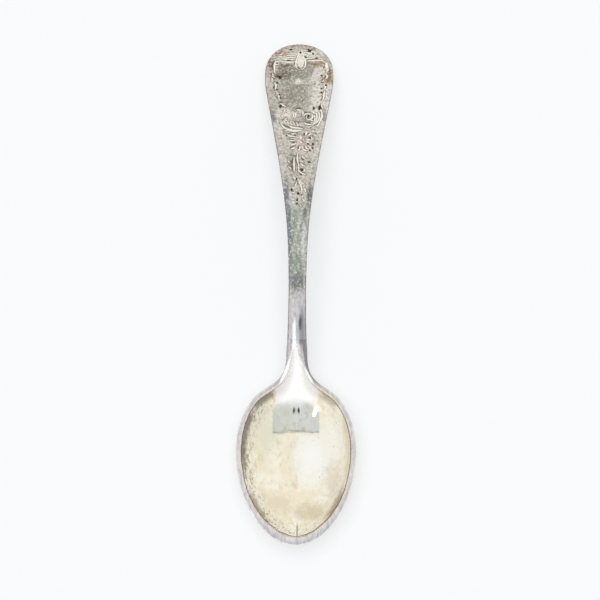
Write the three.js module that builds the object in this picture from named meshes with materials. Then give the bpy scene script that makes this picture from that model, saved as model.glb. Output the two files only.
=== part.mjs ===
// Souvenir teaspoon: pressed bowl with a gilt inside, soldered on a flared fiddle-end handle.
// Millimetres. +Y runs from the bowl to the handle's end, +Z up, origin at the middle of the footprint.
// "station" s is the distance along the spoon from the tip of the bowl, so y = s - LENGTH / 2.
import * as THREE from "three";

// ---- driving dimensions -------------------------------------------------------------------
const LENGTH = 140;

const BOWL = {
  halfWidth: 15.8, // at the widest station
  widest: 24.83,
  heel: 17.665, // from the widest station to where the oval alone would close
  tipPower: 1.902,
  heelPower: 2.177,
  depth: 6.75, // of the hollow, under the rim
  deepest: 29,
  tipCurve: 4, // how flat the floor of the hollow stays towards the tip, and towards the neck
  neckCurve: 3,
  section: 2.6, // roundness of its cross-section
  rimSide: 1.15, // width of the bare rim band
  rimTip: 1.9,
  lip: 0.6, // height of the rim's outer edge
  floorExtra: 0.4, // the underside is this much deeper than the hollow, past the lip
};
const NECK = {
  blend: 1.487, half: 1.944, // of the bare stem
  flare: 9.709, at: 41.685, spread: 1.701, // the flare into the bowl
  swell: 0.687, swellAt: 42.24, swellWide: 15.03, // and the long gentle one before it
};
const HOLLOW_END = 53; // where the groove in the neck runs out
const TAB_END = 54; // end face of the bowl's tab, against the handle's shoulder
const SHOULDER = TAB_END + 0.1;

const HANDLE = { taper: 0.181, bend: 85.1, bendSoft: 7.08 };
const END_CAP = { centre: 130.2, halfWidth: 9.42, power: 2.111, blend: 0.3 };
const END_FACE_HALF = 0.7;
const EDGE_ROUND = 0.45;

const TONGUE = { tip: 42, swell: 0.3, edge: 0.12, lapGap: 0.34 };
const BACK_ROUND = 2.3; // roundness of the handle's and the tongue's backs

const GILT = { gap: 0.05, neckGap: 0.2, thick: 0.15, inset: 0.985, fade: 42, end: 46.5 };
const SOLDER = { clear: 0.12, film: 0.12, bead: 0.36, beadHeight: 0.15 };

// Heights and thicknesses by station, [s, mm], joined by smooth curves.
const RIM_HEIGHT = [
  [0, 8.9], [12, 8.25], [27, 7.55], [40, 7.75], [47, 8.8], [54, 11.2], [62, 13.4],
  [72, 14.9], [82, 15.3], [95, 14.2], [110, 11.3], [125, 6.9], [140, 1.2],
];
const TONGUE_THICK = [[42, 0.3], [45, 0.7], [49, 1.2], [54, 1.4]];
const STEM_THICK = [[54, 2.86], [62, 2.85], [75, 2.6], [87, 2.15], [100, 1.85], [120, 1.6], [140, 1.4]];
const STEM_EDGE = [[54, 1.06], [62, 1.35], [75, 1.45], [100, 1.35], [140, 1.2]];
const BEVEL_WIDE = [[54, 0.95], [75, 0.95], [90, 0.7], [110, 0.5], [140, 0.45]];
const BEVEL_DROP = [[54, 0.5], [75, 0.5], [95, 0.4], [140, 0.35]];
const CROWN = [[54, 0.42], [62, 0.34], [75, 0.16], [90, 0.15], [120, 0.3], [140, 0.25]];

// ---- small maths ----------------------------------------------------------------------------
const clamp = (v, lo, hi) => Math.min(hi, Math.max(lo, v));
const smoothMax = (a, b, r) => (a + b + Math.hypot(a - b, r)) / 2;
const smoothMin = (a, b, r) => (a + b - Math.hypot(a - b, r)) / 2;
const ease = (lo, hi, v) => {
  const t = clamp((v - lo) / (hi - lo), 0, 1);
  return t * t * (3 - 2 * t);
};
const superArc = (t, power) => Math.pow(Math.max(0, 1 - Math.pow(Math.abs(t), power)), 1 / power);

// A smooth curve through [s, value] stations (cubic Hermite with averaged slopes).
function along(stations, s) {
  const n = stations.length;
  const slope = (i) => {
    const a = stations[Math.max(0, i - 1)];
    const b = stations[Math.min(n - 1, i + 1)];
    return (b[1] - a[1]) / (b[0] - a[0]);
  };
  const v = clamp(s, stations[0][0], stations[n - 1][0]);
  let i = 0;
  while (i < n - 2 && v > stations[i + 1][0]) i++;
  const [s0, v0] = stations[i];
  const [s1, v1] = stations[i + 1];
  const h = s1 - s0;
  const t = (v - s0) / h;
  const [t2, t3] = [t * t, t * t * t];
  return (
    v0 * (2 * t3 - 3 * t2 + 1) + slope(i) * h * (t3 - 2 * t2 + t) +
    v1 * (3 * t2 - 2 * t3) + slope(i + 1) * h * (t3 - t2)
  );
}

// ---- the spoon's shape functions ------------------------------------------------------------
const rimHeight = (s) => along(RIM_HEIGHT, s);

function stemHalf(s) {
  const { taper, bend, bendSoft } = HANDLE;
  return NECK.half + taper * bendSoft * Math.log1p(Math.exp((s - bend) / bendSoft));
}

// What the neck adds as it widens into the bowl.
function neckFlare(s) {
  const { flare, at, spread, swell, swellAt, swellWide } = NECK;
  const gentle = swell * Math.exp(-Math.pow((s - swellAt) / swellWide, 2));
  return gentle + flare / (1 + Math.exp((s - at) / spread));
}

// Half-width of the whole outline at a station.
function planHalf(s) {
  if (s <= BOWL.widest) {
    return BOWL.halfWidth * superArc((BOWL.widest - s) / BOWL.widest, BOWL.tipPower);
  }
  const { centre, halfWidth, power, blend } = END_CAP;
  if (s > centre) {
    const cap = halfWidth * superArc((s - centre) / (LENGTH - centre), power);
    return smoothMin(stemHalf(s), cap, blend);
  }
  const oval = BOWL.halfWidth * superArc(Math.min(1, (s - BOWL.widest) / BOWL.heel), BOWL.heelPower);
  const soft = NECK.blend * clamp((s - BOWL.widest) / 10, 0, 1);
  return smoothMax(oval, smoothMin(stemHalf(s), halfWidth, blend) + neckFlare(s), soft);
}

const hollowDepth = (s) => {
  const { depth, deepest, rimTip, tipCurve, neckCurve } = BOWL;
  if (s < deepest) return depth * (1 - Math.pow((deepest - s) / (deepest - rimTip), tipCurve));
  const t = clamp((s - deepest) / (HOLLOW_END - deepest), 0, 1);
  return depth * Math.pow(1 - Math.pow(t, neckCurve), 1.5);
};

// Points [x, s] down the right side of an outline, tip to end, closer together at the neck.
function spaced(dense, count) {
  const run = [0];
  for (let i = 1; i < dense.length; i++) {
    const step = Math.hypot(dense[i][0] - dense[i - 1][0], dense[i][1] - dense[i - 1][1]);
    run.push(run[i - 1] + step * (1 + 2.2 * Math.exp(-(((dense[i][1] - 45) / 6) ** 2))));
  }
  const out = [];
  for (let j = 0, i = 1; j <= count; j++) {
    const want = (run[run.length - 1] * j) / count;
    while (i < run.length - 1 && run[i] < want) i++;
    const t = clamp((want - run[i - 1]) / (run[i] - run[i - 1]), 0, 1);
    out.push([0, 1].map((k) => dense[i - 1][k] + (dense[i][k] - dense[i - 1][k]) * t));
  }
  return out;
}

const DENSE = 1600;
const denseStations = (from, to) =>
  Array.from({ length: DENSE + 1 }, (_, i) => from + (to - from) * (1 - Math.cos((Math.PI * i) / DENSE)) / 2);

// The hollow's edge is the outline moved in by the rim band, closing to a blunt groove in the neck.
function rimPoint([x, s]) {
  const d = 0.01;
  const grade = s < d ? 1e6 : (planHalf(s + d) - planHalf(s - d)) / (2 * d);
  const band = BOWL.rimTip + (BOWL.rimSide - BOWL.rimTip) * ease(0, 12, s) - 0.25 * ease(38, 50, s);
  const k = band / Math.hypot(1, grade);
  let at = s + k * grade;
  if (at > 48) at = 48 + ((at - 48) * (HOLLOW_END - 48)) / (TAB_END - 48);
  const closing = Math.sqrt(1 - 0.985 * Math.pow(clamp((at - 45) / (HOLLOW_END - 45), 0, 1), 2.5));
  return [Math.max(0, x - k) * closing, at];
}

const SIDE_POINTS = 42;
const outlineSide = spaced(denseStations(0, TAB_END).map((s) => [planHalf(s), s]), SIDE_POINTS);
const hollowSide = outlineSide.map(rimPoint);
hollowSide[0] = [0, BOWL.rimTip];

const denseHollow = denseStations(0, TAB_END).map((s) => rimPoint([planHalf(s), s]));
function hollowHalf(s) {
  let i = 1;
  while (i < denseHollow.length - 1 && denseHollow[i][1] < s) i++;
  const [[x0, s0], [x1, s1]] = [denseHollow[i - 1], denseHollow[i]];
  return x0 + (x1 - x0) * clamp((s - s0) / (s1 - s0 || 1), 0, 1);
}

// Height of the hollow's surface, and of the underside, at (x, s).
function hollowZ(x, s) {
  const across = clamp(Math.abs(x) / Math.max(1e-6, hollowHalf(s)), 0, 1);
  return rimHeight(s) - hollowDepth(s) * (1 - Math.pow(across, BOWL.section));
}
function underZ(x, s) {
  const across = clamp(Math.abs(x) / Math.max(1e-6, planHalf(s)), 0, 1);
  const deep = hollowDepth(s) + BOWL.floorExtra;
  // Worn flat where it would pass below the table the spoon rests on.
  return Math.max(0, rimHeight(s) - BOWL.lip - deep * (1 - Math.pow(across, BOWL.section)));
}
// The rim band's outer edge drops towards the tab's end, to meet the handle's bevel and crown.
const bandZ = (x, s) => {
  const across = Math.abs(x) / Math.max(1e-6, planHalf(s));
  const drop = across > 0.9 ? along(BEVEL_DROP, TAB_END) : along(CROWN, TAB_END) * across ** 2;
  return rimHeight(s) - drop * ease(38, TAB_END, s);
};

// ---- mesh building --------------------------------------------------------------------------
class Solid {
  constructor() {
    this.points = [];
    this.faces = [];
  }
  loop(points) {
    const first = this.points.length;
    points.forEach(([x, s, z]) => this.points.push(x, s - LENGTH / 2, z));
    return points.map((_, i) => first / 3 + i);
  }
  // Joins two closed loops of equal length. Seen from outside, b lies to the left of a's direction.
  band(a, b) {
    for (let i = 0; i < a.length; i++) {
      const n = (i + 1) % a.length;
      if (2 * i < a.length) this.faces.push(a[i], a[n], b[n], a[i], b[n], b[i]);
      else this.faces.push(a[i], a[n], b[i], a[n], b[n], b[i]);
    }
  }
  fan(loop, point) {
    const [middle] = this.loop([point]);
    loop.forEach((v, i) => this.faces.push(v, loop[(i + 1) % loop.length], middle));
  }
  mesh(name, look) {
    const geometry = new THREE.BufferGeometry();
    geometry.setAttribute("position", new THREE.Float32BufferAttribute(this.points, 3));
    geometry.setIndex(this.faces);
    geometry.computeVertexNormals();
    const mesh = new THREE.Mesh(geometry, new THREE.MeshStandardMaterial(look));
    mesh.name = name;
    return mesh;
  }
}

// A closed loop from one side's points: tip, right side up, across the end, left side down.
function bothSides(side, zOf) {
  const [endX, endS] = side[side.length - 1];
  const closed = endX < 1e-9;
  const left = side.slice(1, closed ? -1 : undefined).reverse().map(([x, s]) => [-x, s]);
  const across = closed ? [] : [0.5, 0, -0.5].map((k) => [endX * k, endS]);
  return [...side, ...across, ...left].map(([x, s]) => [x, s, zOf(x, s)]);
}
const shrink = (side, k, centre) => side.map(([x, s]) => [x * k, centre + (s - centre) * k]);

const DISH_CENTRE = 28;
const RINGS = [0.965, 0.92, 0.86, 0.78, 0.68, 0.56, 0.43, 0.29, 0.14];
const UNDER_RINGS = [0.97, 0.93, 0.885, 0.84, 0.785, 0.73, 0.67, 0.6, 0.53, 0.45, 0.33, 0.15];

// Rings from an edge loop in to the centre, over a surface zOf. facing is +1 up, -1 down.
function dish(solid, edge, side, zOf, facing, rings = RINGS) {
  let last = edge;
  for (const k of rings) {
    const ring = solid.loop(bothSides(shrink(side, k, DISH_CENTRE), zOf));
    facing > 0 ? solid.band(last, ring) : solid.band(ring, last);
    last = ring;
  }
  const centre = [0, DISH_CENTRE, zOf(0, DISH_CENTRE)];
  solid.fan(facing > 0 ? last : [...last].reverse(), centre);
}

// ---- the pieces -----------------------------------------------------------------------------
function bowl() {
  const solid = new Solid();
  const inner = solid.loop(bothSides(hollowSide, (x, s) => rimHeight(s)));
  const top = solid.loop(bothSides(outlineSide, bandZ));
  const low = solid.loop(bothSides(outlineSide, (x, s) => rimHeight(s) - BOWL.lip));
  dish(solid, inner, hollowSide, hollowZ, 1);
  solid.band(top, inner);
  solid.band(low, top);
  dish(solid, low, outlineSide, underZ, -1, UNDER_RINGS);
  return solid.mesh("bowl", { color: 0xc9c6c0, roughness: 0.24, metalness: 1 });
}

function giltLining() {
  const { gap, neckGap, thick, inset, fade, end } = GILT;
  // The hollow's own outline, a little inside it, with the neck drawn back to a rounded end.
  const side = hollowSide.map(([x, s]) => {
    if (s <= fade) return [x, s];
    const at = fade + (end - fade) * Math.sin(((Math.PI / 2) * (s - fade)) / (HOLLOW_END - fade));
    return [hollowHalf(at) * Math.sqrt(1 - Math.pow((at - fade) / (end - fade), 3)), at];
  });
  side[side.length - 1][0] = 0;
  const edge = shrink(side, inset, DISH_CENTRE);
  const bottomZ = (x, s) => hollowZ(x, s) + gap + neckGap * ease(33, 40, s);
  const topZ = (x, s) => bottomZ(x, s) + thick;
  const solid = new Solid();
  const top = solid.loop(bothSides(edge, topZ));
  const low = solid.loop(bothSides(edge, bottomZ));
  dish(solid, top, side, topZ, 1);
  solid.band(low, top);
  dish(solid, low, side, bottomZ, -1);
  return solid.mesh("gilt_lining", { color: 0xe3cf93, roughness: 0.28, metalness: 1 });
}

// Positions across a section, edge to edge, with the points gathered at the rounded edges.
function acrossTop(half, bevel) {
  const wide = Math.min(bevel, 0.6 * half);
  const edge = Math.min(EDGE_ROUND * 0.3, 0.15 * half);
  const core = half - wide;
  return [-half, -half + edge, -core - wide * 0.45, -core, -core / 2, 0, core / 2, core,
    core + wide * 0.45, half - edge, half];
}

// A closed section of the handle: top left to right, then the back right to left.
function handleSection(s, half = planHalf(s)) {
  const wide = Math.min(along(BEVEL_WIDE, s), 0.6 * half);
  const past = clamp((s - (LENGTH - EDGE_ROUND)) / EDGE_ROUND, 0, 0.97);
  const endRound = EDGE_ROUND * (1 - Math.sqrt(1 - past * past));
  const high = rimHeight(s);
  const [thick, edge, crown] = [STEM_THICK, STEM_EDGE, CROWN].map((t) => along(t, s));
  const fall = Math.min(along(BEVEL_DROP, s), high - 0.4);
  const topZ = (x) => {
    const into = clamp((Math.abs(x) - (half - wide)) / wide, 0, 1);
    const flat = high - crown * (x / half) ** 2 * (1 - into);
    return flat - crown * into - (fall - crown) * into ** 1.6 - endRound;
  };
  const backZ = (x) => {
    const bulge = (thick - edge) * (1 - Math.pow(Math.abs(x / half), BACK_ROUND));
    return Math.max(0, high - edge - bulge) + endRound * 0.8;
  };
  const xs = acrossTop(half, wide);
  return [...xs.map((x) => [x, s, topZ(x)]), ...xs.reverse().map((x) => [x, s, backZ(x)])];
}

const tongueHalf = (s) => {
  const u = (TAB_END - s) / (TAB_END - TONGUE.tip);
  const full = planHalf(TAB_END) + TONGUE.swell * Math.sin(Math.PI * u);
  return full * Math.sqrt(1 - Math.pow(clamp(u, 0, 1), 4));
};
// The lap opens a little where the neck curves most.
const lapEase = (s) => 0.1 * Math.exp(-(((s - 46) / 3) ** 2));
const tongueTopZ = (x, s) => underZ(x, s) - TONGUE.lapGap - lapEase(s);

const TONGUE_STEPS = 16;
const tongueStations = Array.from(
  { length: TONGUE_STEPS + 1 },
  (_, i) => TONGUE.tip + (TAB_END - TONGUE.tip) * (1 - Math.cos((Math.PI / 2) * (i / TONGUE_STEPS))),
);
const tongueWidth = (s) => Math.max(0.35, tongueHalf(s));

function tongueSection(s) {
  const half = tongueWidth(s);
  const thick = along(TONGUE_THICK, s);
  const backZ = (x) =>
    tongueTopZ(x, s) - TONGUE.edge - thick * (1 - Math.pow(Math.abs(x / half), BACK_ROUND));
  const xs = acrossTop(half, along(BEVEL_WIDE, TAB_END));
  return [...xs.map((x) => [x, s, tongueTopZ(x, s)]), ...xs.reverse().map((x) => [x, s, backZ(x)])];
}

function handleStations() {
  const stations = [];
  for (let s = 57; s < 124; s += 3) stations.push(s);
  const STEPS = 22;
  for (let i = 0; i <= STEPS; i++) {
    stations.push(124 + (LENGTH - 124) * Math.sin((Math.PI / 2) * (i / STEPS)));
  }
  return stations;
}

function handle() {
  const solid = new Solid();
  const sections = tongueStations.map(tongueSection);
  // The shoulder: the same back, with the top stepping up to the full height behind the tab.
  const onset = handleSection(SHOULDER);
  const reach = tongueSection(TAB_END).slice(0, onset.length / 2);
  sections.push(reach.map(([x, , z]) => [x, SHOULDER, z]).concat(onset.slice(onset.length / 2)));
  sections.push(onset);
  for (const s of handleStations()) {
    sections.push(s < LENGTH ? handleSection(s) : handleSection(s, END_FACE_HALF));
  }
  const loops = sections.map((section) => solid.loop(section));
  loops.slice(1).forEach((loop, i) => solid.band(loops[i], loop));
  for (const [loop, facing] of [[loops[0], -1], [loops[loops.length - 1], 1]]) {
    const n = loop.length;
    for (let i = 0; i < n / 2 - 1; i++) {
      const quad = [loop[i], loop[i + 1], loop[n - 2 - i], loop[n - 1 - i]];
      const [a, b, c, d] = facing > 0 ? quad : [...quad].reverse();
      solid.faces.push(a, b, c, a, c, d);
    }
  }
  return solid.mesh("handle", { color: 0xbdb7b0, roughness: 0.32, metalness: 1 });
}

// Solder: a film filling the lap, with a small bead along the tongue's edge.
function solderJoint() {
  const { clear, film, bead, beadHeight } = SOLDER;
  const solid = new Solid();
  const loops = tongueStations.map((s) => {
    const half = tongueWidth(s);
    const outer = Math.min(half + bead, planHalf(s) - 0.1);
    const shelf = Math.min(half + 0.06, outer - 0.02);
    const drop = beadHeight * clamp((outer - shelf - 0.02) / 0.3, 0, 1);
    const inside = acrossTop(half, along(BEVEL_WIDE, TAB_END)).slice(1, -1);
    const xs = [-outer, -shelf - 0.01, -shelf, ...inside, shelf, shelf + 0.01, outer];
    const drops = xs.map((x, k) => [-film * 0.6, drop][Math.min(k, xs.length - 1 - k)] ?? 0);
    const topZ = (x) => underZ(x, s) - clear - lapEase(s);
    const top = xs.map((x) => [x, s, topZ(x)]);
    const low = xs.map((x, k) => [x, s, topZ(x) - film - drops[k]]);
    return solid.loop([...top, ...low.reverse()]);
  });
  loops.slice(1).forEach((loop, i) => solid.band(loops[i], loop));
  for (const [loop, facing] of [[loops[0], -1], [loops[loops.length - 1], 1]]) {
    const n = loop.length;
    for (let i = 0; i < n / 2 - 1; i++) {
      const quad = [loop[i], loop[i + 1], loop[n - 2 - i], loop[n - 1 - i]];
      const [a, b, c, d] = facing > 0 ? quad : [...quad].reverse();
      solid.faces.push(a, b, c, a, c, d);
    }
  }
  return solid.mesh("solder_joint", { color: 0x9d9a96, roughness: 0.4, metalness: 1 });
}

const group = new THREE.Group();
group.name = "souvenir_spoon";
group.add(handle(), bowl(), giltLining(), solderJoint());
export default group;
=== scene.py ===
"""Souvenir spoon: fine bowl, gilding, solder and bright-cut handle over the CAD frame.

Lengths inside the shape functions and the materials are units: millimetres for a spoon of 140 mm.
"s" is the station: the distance along the spoon from the bowl's tip. x is across it and z is up.
to_frame() turns them into the row frame.
"""

import math

import bpy
import numpy as np
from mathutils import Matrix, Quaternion, Vector, noise
from mathutils.geometry import delaunay_2d_cdt


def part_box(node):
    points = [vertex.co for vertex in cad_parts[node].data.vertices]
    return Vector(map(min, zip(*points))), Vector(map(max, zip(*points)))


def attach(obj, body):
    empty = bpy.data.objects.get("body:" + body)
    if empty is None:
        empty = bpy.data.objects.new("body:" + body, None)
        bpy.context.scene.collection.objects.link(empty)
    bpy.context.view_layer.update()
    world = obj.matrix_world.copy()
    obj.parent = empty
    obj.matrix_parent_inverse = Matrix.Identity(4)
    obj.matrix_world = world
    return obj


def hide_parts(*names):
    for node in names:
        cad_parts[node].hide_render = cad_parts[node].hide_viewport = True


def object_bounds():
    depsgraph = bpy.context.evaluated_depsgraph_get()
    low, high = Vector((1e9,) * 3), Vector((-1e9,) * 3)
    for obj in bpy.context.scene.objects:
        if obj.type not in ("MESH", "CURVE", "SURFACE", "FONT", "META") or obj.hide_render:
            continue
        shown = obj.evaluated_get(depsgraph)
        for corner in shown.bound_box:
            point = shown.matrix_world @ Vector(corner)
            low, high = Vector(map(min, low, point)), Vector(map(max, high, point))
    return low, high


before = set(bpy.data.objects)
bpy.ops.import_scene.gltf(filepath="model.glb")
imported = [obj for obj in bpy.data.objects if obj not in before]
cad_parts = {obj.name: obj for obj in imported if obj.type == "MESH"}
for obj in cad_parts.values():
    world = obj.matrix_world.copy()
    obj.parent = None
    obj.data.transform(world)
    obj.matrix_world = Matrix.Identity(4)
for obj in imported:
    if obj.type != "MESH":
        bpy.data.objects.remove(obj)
CAD_LOW, CAD_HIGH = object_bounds()

# ---------------------------------------------------------------- sizes, from the CAD boxes
LENGTH = 140.0  # the shape functions are written for a spoon this long, in units of a millimetre
UNIT = (CAD_HIGH.y - CAD_LOW.y) / LENGTH  # metres in one unit
BOWL_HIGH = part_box("bowl")[1]
HANDLE_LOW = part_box("handle")[0]

BOWL_HALF = BOWL_HIGH.x / UNIT
WIDEST, HEEL = 24.83, 17.665  # station of the bowl's widest place, and from there to its heel
TAB_END = (BOWL_HIGH.y - CAD_LOW.y) / UNIT
TONGUE_TIP = (HANDLE_LOW.y - CAD_LOW.y) / UNIT
HOLLOW_END = TAB_END - 1.0
DEPTH, DEEPEST = 6.75, 29.0  # depth of the hollow, and the station where it is deepest
RIM_SIDE, RIM_TIP = 1.15, 1.9  # width of the rim band
LIP, FLOOR = 0.6, 0.4  # thickness at the rim, and what the floor adds to it
SHOULDER = TAB_END + 0.02  # the joint shows as a hairline
BOWL_ROUND, BACK_ROUND = 2.6, 2.3  # roundness of the cross-sections
TIP_CURVE, NECK_CURVE = 4, 3  # how flat the hollow's floor stays towards the tip, towards the neck
END_HALF, END_CENTRE = 9.42, 130.2  # half-width of the handle's end, and where its round begins
SPLIT = 87.5  # the plain shank ends and the engraved face begins

# heights and thicknesses along the spoon, as (station, value)
RIM_HEIGHT = ((0, 8.9), (12, 8.25), (27, 7.55), (40, 7.75), (47, 8.8), (54, 11.2), (62, 13.4),
              (72, 14.9), (82, 15.3), (95, 14.2), (110, 11.3), (125, 6.9), (140, 1.2))
TONGUE_THICK = ((42, 0.3), (45, 0.7), (49, 1.2), (54, 1.4))
STEM_THICK = ((54, 2.86), (62, 2.85), (75, 2.6), (87, 2.15), (100, 1.85), (120, 1.6), (140, 1.4))
STEM_EDGE = ((54, 1.06), (62, 1.35), (75, 1.45), (100, 1.35), (140, 1.2))
BEVEL_WIDE = ((54, 0.95), (75, 0.95), (90, 0.7), (110, 0.5), (140, 0.45))
BEVEL_DROP = ((54, 0.5), (75, 0.5), (95, 0.4), (140, 0.35))
CROWN = ((54, 0.42), (62, 0.34), (75, 0.16), (90, 0.15), (120, 0.3), (140, 0.25))


# ---------------------------------------------------------------- shape functions
def along(stations, s):
    """A smooth curve through (s, value) stations, for numbers or arrays."""
    xs = np.array([a for a, _ in stations])
    vs = np.array([v for _, v in stations])
    slopes = np.empty(len(xs))
    slopes[1:-1] = (vs[2:] - vs[:-2]) / (xs[2:] - xs[:-2])
    slopes[0] = (vs[1] - vs[0]) / (xs[1] - xs[0])
    slopes[-1] = (vs[-1] - vs[-2]) / (xs[-1] - xs[-2])
    v = np.clip(s, xs[0], xs[-1])
    i = np.clip(np.searchsorted(xs, v, side="right") - 1, 0, len(xs) - 2)
    h = xs[i + 1] - xs[i]
    t = (v - xs[i]) / h
    t2, t3 = t * t, t * t * t
    return (vs[i] * (2 * t3 - 3 * t2 + 1) + slopes[i] * h * (t3 - 2 * t2 + t)
            + vs[i + 1] * (3 * t2 - 2 * t3) + slopes[i + 1] * h * (t3 - t2))


def ease(lo, hi, v):
    t = np.clip((v - lo) / (hi - lo), 0, 1)
    return t * t * (3 - 2 * t)


def super_arc(t, power):
    return np.maximum(0, 1 - np.abs(t) ** power) ** (1 / power)


def smooth_max(a, b, r):
    return (a + b + np.hypot(a - b, r)) / 2


def smooth_min(a, b, r):
    return (a + b - np.hypot(a - b, r)) / 2


def stem_half(s):
    """Half-width of the handle without its end: a straight stem, then an even spread."""
    narrow, spread, start, soft = 1.944, 0.181, 85.1, 7.08
    return narrow + spread * soft * np.log1p(np.exp((s - start) / soft))


def neck_flare(s):
    """What the neck adds as it widens into the bowl: a quick flare over a faint swell."""
    return 9.709 / (1 + np.exp((s - 41.685) / 1.701)) + 0.687 * np.exp(-((s - 42.24) / 15.03) ** 2)


def plan_half(s):
    """Half-width of the spoon's outline at a station."""
    s = np.asarray(s, float)
    tip = BOWL_HALF * super_arc(np.clip((WIDEST - s) / WIDEST, 0, 1), 1.902)
    oval = BOWL_HALF * super_arc(np.clip((s - WIDEST) / HEEL, 0, 1), 2.177)
    stem = smooth_min(stem_half(s), END_HALF, 0.3) + neck_flare(s)
    middle = smooth_max(oval, stem, 1.487 * np.clip((s - WIDEST) / 10, 0, 1))
    cap = END_HALF * super_arc(np.clip((s - END_CENTRE) / (LENGTH - END_CENTRE), 0, 1), 2.111)
    end = np.maximum(0, smooth_min(stem_half(s), cap, 0.3))
    return np.where(s <= WIDEST, tip, np.where(s > END_CENTRE, end, middle))


def rim_height(s):
    return along(RIM_HEIGHT, s)


def hollow_depth(s):
    tip = 1 - np.clip((DEEPEST - s) / (DEEPEST - RIM_TIP), 0, 1) ** TIP_CURVE
    t = np.clip((s - DEEPEST) / (HOLLOW_END - DEEPEST), 0, 1)
    return DEPTH * np.where(s < DEEPEST, tip, (1 - t ** NECK_CURVE) ** 1.5)


def rim_point(x, s):
    """The hollow's edge: the outline moved in by the rim band, closing to a groove in the neck."""
    step = 0.01
    grade = np.where(s < step, 1e6, (plan_half(s + step) - plan_half(np.maximum(s - step, 0))) / (2 * step))
    band = RIM_TIP + (RIM_SIDE - RIM_TIP) * ease(0, 12, s) - 0.25 * ease(38, 50, s)
    k = band / np.hypot(1, grade)
    at = s + k * grade
    turn = 48
    at = np.where(at > turn, turn + (at - turn) * (HOLLOW_END - turn) / (TAB_END - turn), at)
    start = 45
    closing = np.sqrt(1 - 0.985 * np.clip((at - start) / (HOLLOW_END - start), 0, 1) ** 2.5)
    return np.maximum(0, x - k) * closing, at


def cosine_stations(lo, hi, count=4000):
    return lo + (hi - lo) * (1 - np.cos(np.linspace(0, math.pi, count))) / 2


HOLLOW_EDGE = rim_point(plan_half(cosine_stations(0, TAB_END)), cosine_stations(0, TAB_END))


def hollow_half(s):
    return np.interp(s, HOLLOW_EDGE[1], HOLLOW_EDGE[0])


def section(x, half, power=BOWL_ROUND):
    """1 on the centre line, falling to 0 at the half-width."""
    return 1 - np.clip(np.abs(x) / np.maximum(half, 1e-6), 0, 1) ** power


def hollow_z(x, s):
    return rim_height(s) - hollow_depth(s) * section(x, hollow_half(s))


def under_z(x, s):
    """The bowl's underside, worn flat where it meets the table."""
    return np.maximum(0, rim_height(s) - LIP - (hollow_depth(s) + FLOOR) * section(x, plan_half(s)))


def to_frame(x, s, z):
    """Units across, along and up to an array of points in the row frame."""
    x, s, z = np.broadcast_arrays(np.asarray(x, float), s, z)
    return np.stack([x * UNIT, s * UNIT + CAD_LOW.y, z * UNIT], axis=-1)


# ---------------------------------------------------------------- mesh building
def put(data, name):
    """A new object in the scene."""
    obj = bpy.data.objects.new(name, data)
    bpy.context.scene.collection.objects.link(obj)
    return obj


class Shell:
    """Collects points and faces for one closed piece."""

    def __init__(self):
        self.points, self.faces = [], []
        self.count = 0

    def add(self, points):
        points = np.asarray(points, float).reshape(-1, 3)
        self.points.append(points)
        self.count += len(points)
        return np.arange(self.count - len(points), self.count)

    def strip(self, a, b, closed=True):
        """Quads between two rows. Seen from outside, b lies to the left of a's direction."""
        n = len(a)
        for i in range(n if closed else n - 1):
            j = (i + 1) % n
            face = tuple(dict.fromkeys((a[i], a[j], b[j], b[i])))  # rows may share points
            if len(face) > 2:
                self.faces.append(face)

    def chain(self, rows, closed=True):
        for a, b in zip(rows, rows[1:]):
            self.strip(a, b, closed)

    def fan(self, loop, point):
        middle = self.add([point])[0]
        n = len(loop)
        for i in range(n):
            self.faces.append((loop[i], loop[(i + 1) % n], middle))

    def build(self, name):
        mesh = bpy.data.meshes.new(name)
        points = np.concatenate(self.points)
        mesh.from_pydata([tuple(p) for p in points], [], [tuple(int(i) for i in f) for f in self.faces])
        mesh.validate()
        mesh.shade_smooth()
        return put(mesh, name)


def spaced(x, s, count, crowd=lambda s: 1.0 + 0 * s):
    """Resamples a polyline to count + 1 points, closer together where crowd is larger."""
    step = np.hypot(np.diff(x), np.diff(s)) * crowd((s[1:] + s[:-1]) / 2)
    run = np.concatenate([[0], np.cumsum(step)])
    want = np.linspace(0, run[-1], count + 1)
    return np.interp(want, run, x), np.interp(want, run, s)


def ring(side_x, side_s, end_x=(), end_s=()):
    """A closed loop: up the right side, across the end, and down the left side."""
    left = slice(1, -1) if side_x[-1] < 1e-9 else slice(1, None)
    return (np.concatenate([side_x, end_x, -side_x[left][::-1]]),
            np.concatenate([side_s, end_s, side_s[left][::-1]]))


# ---------------------------------------------------------------- the handle's surfaces
def bevel_in(d, s):
    """1 at the edge, 0 inside the bevel, from the distance d to the outline."""
    return np.clip(1 - d / along(BEVEL_WIDE, s), 0, 1)


def reach(s):
    """How far the middle of the handle is from its outline."""
    return np.where(s > 130, END_HALF, plan_half(np.minimum(s, 130)))


def handle_top(d, s):
    crown = along(CROWN, s) * (1 - np.clip(d / reach(s), 0, 1)) ** 2
    into = bevel_in(d, s)
    fall = np.minimum(along(BEVEL_DROP, s), rim_height(s) - 0.5)
    return rim_height(s) - crown * (1 - into) - along(CROWN, s) * (into - into ** 1.6) - fall * into ** 1.6


def handle_back(d, s):
    u = 1 - np.clip(d / reach(s), 0, 1)
    edge, thick = along(STEM_EDGE, s), along(STEM_THICK, s)
    soft = 0.3
    lift = soft * (1 - np.sqrt(1 - np.clip(1 - d / soft, 0, 1) ** 2))
    return np.maximum(0, rim_height(s) - edge - (thick - edge) * (1 - u ** BACK_ROUND)) + lift


def neck_top(x, s):
    """The handle's top carried on over the bowl's tab."""
    past = np.maximum(s, TAB_END)
    return handle_top(np.maximum(0, plan_half(s) - np.abs(x)), past) + rim_height(s) - rim_height(past)


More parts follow.
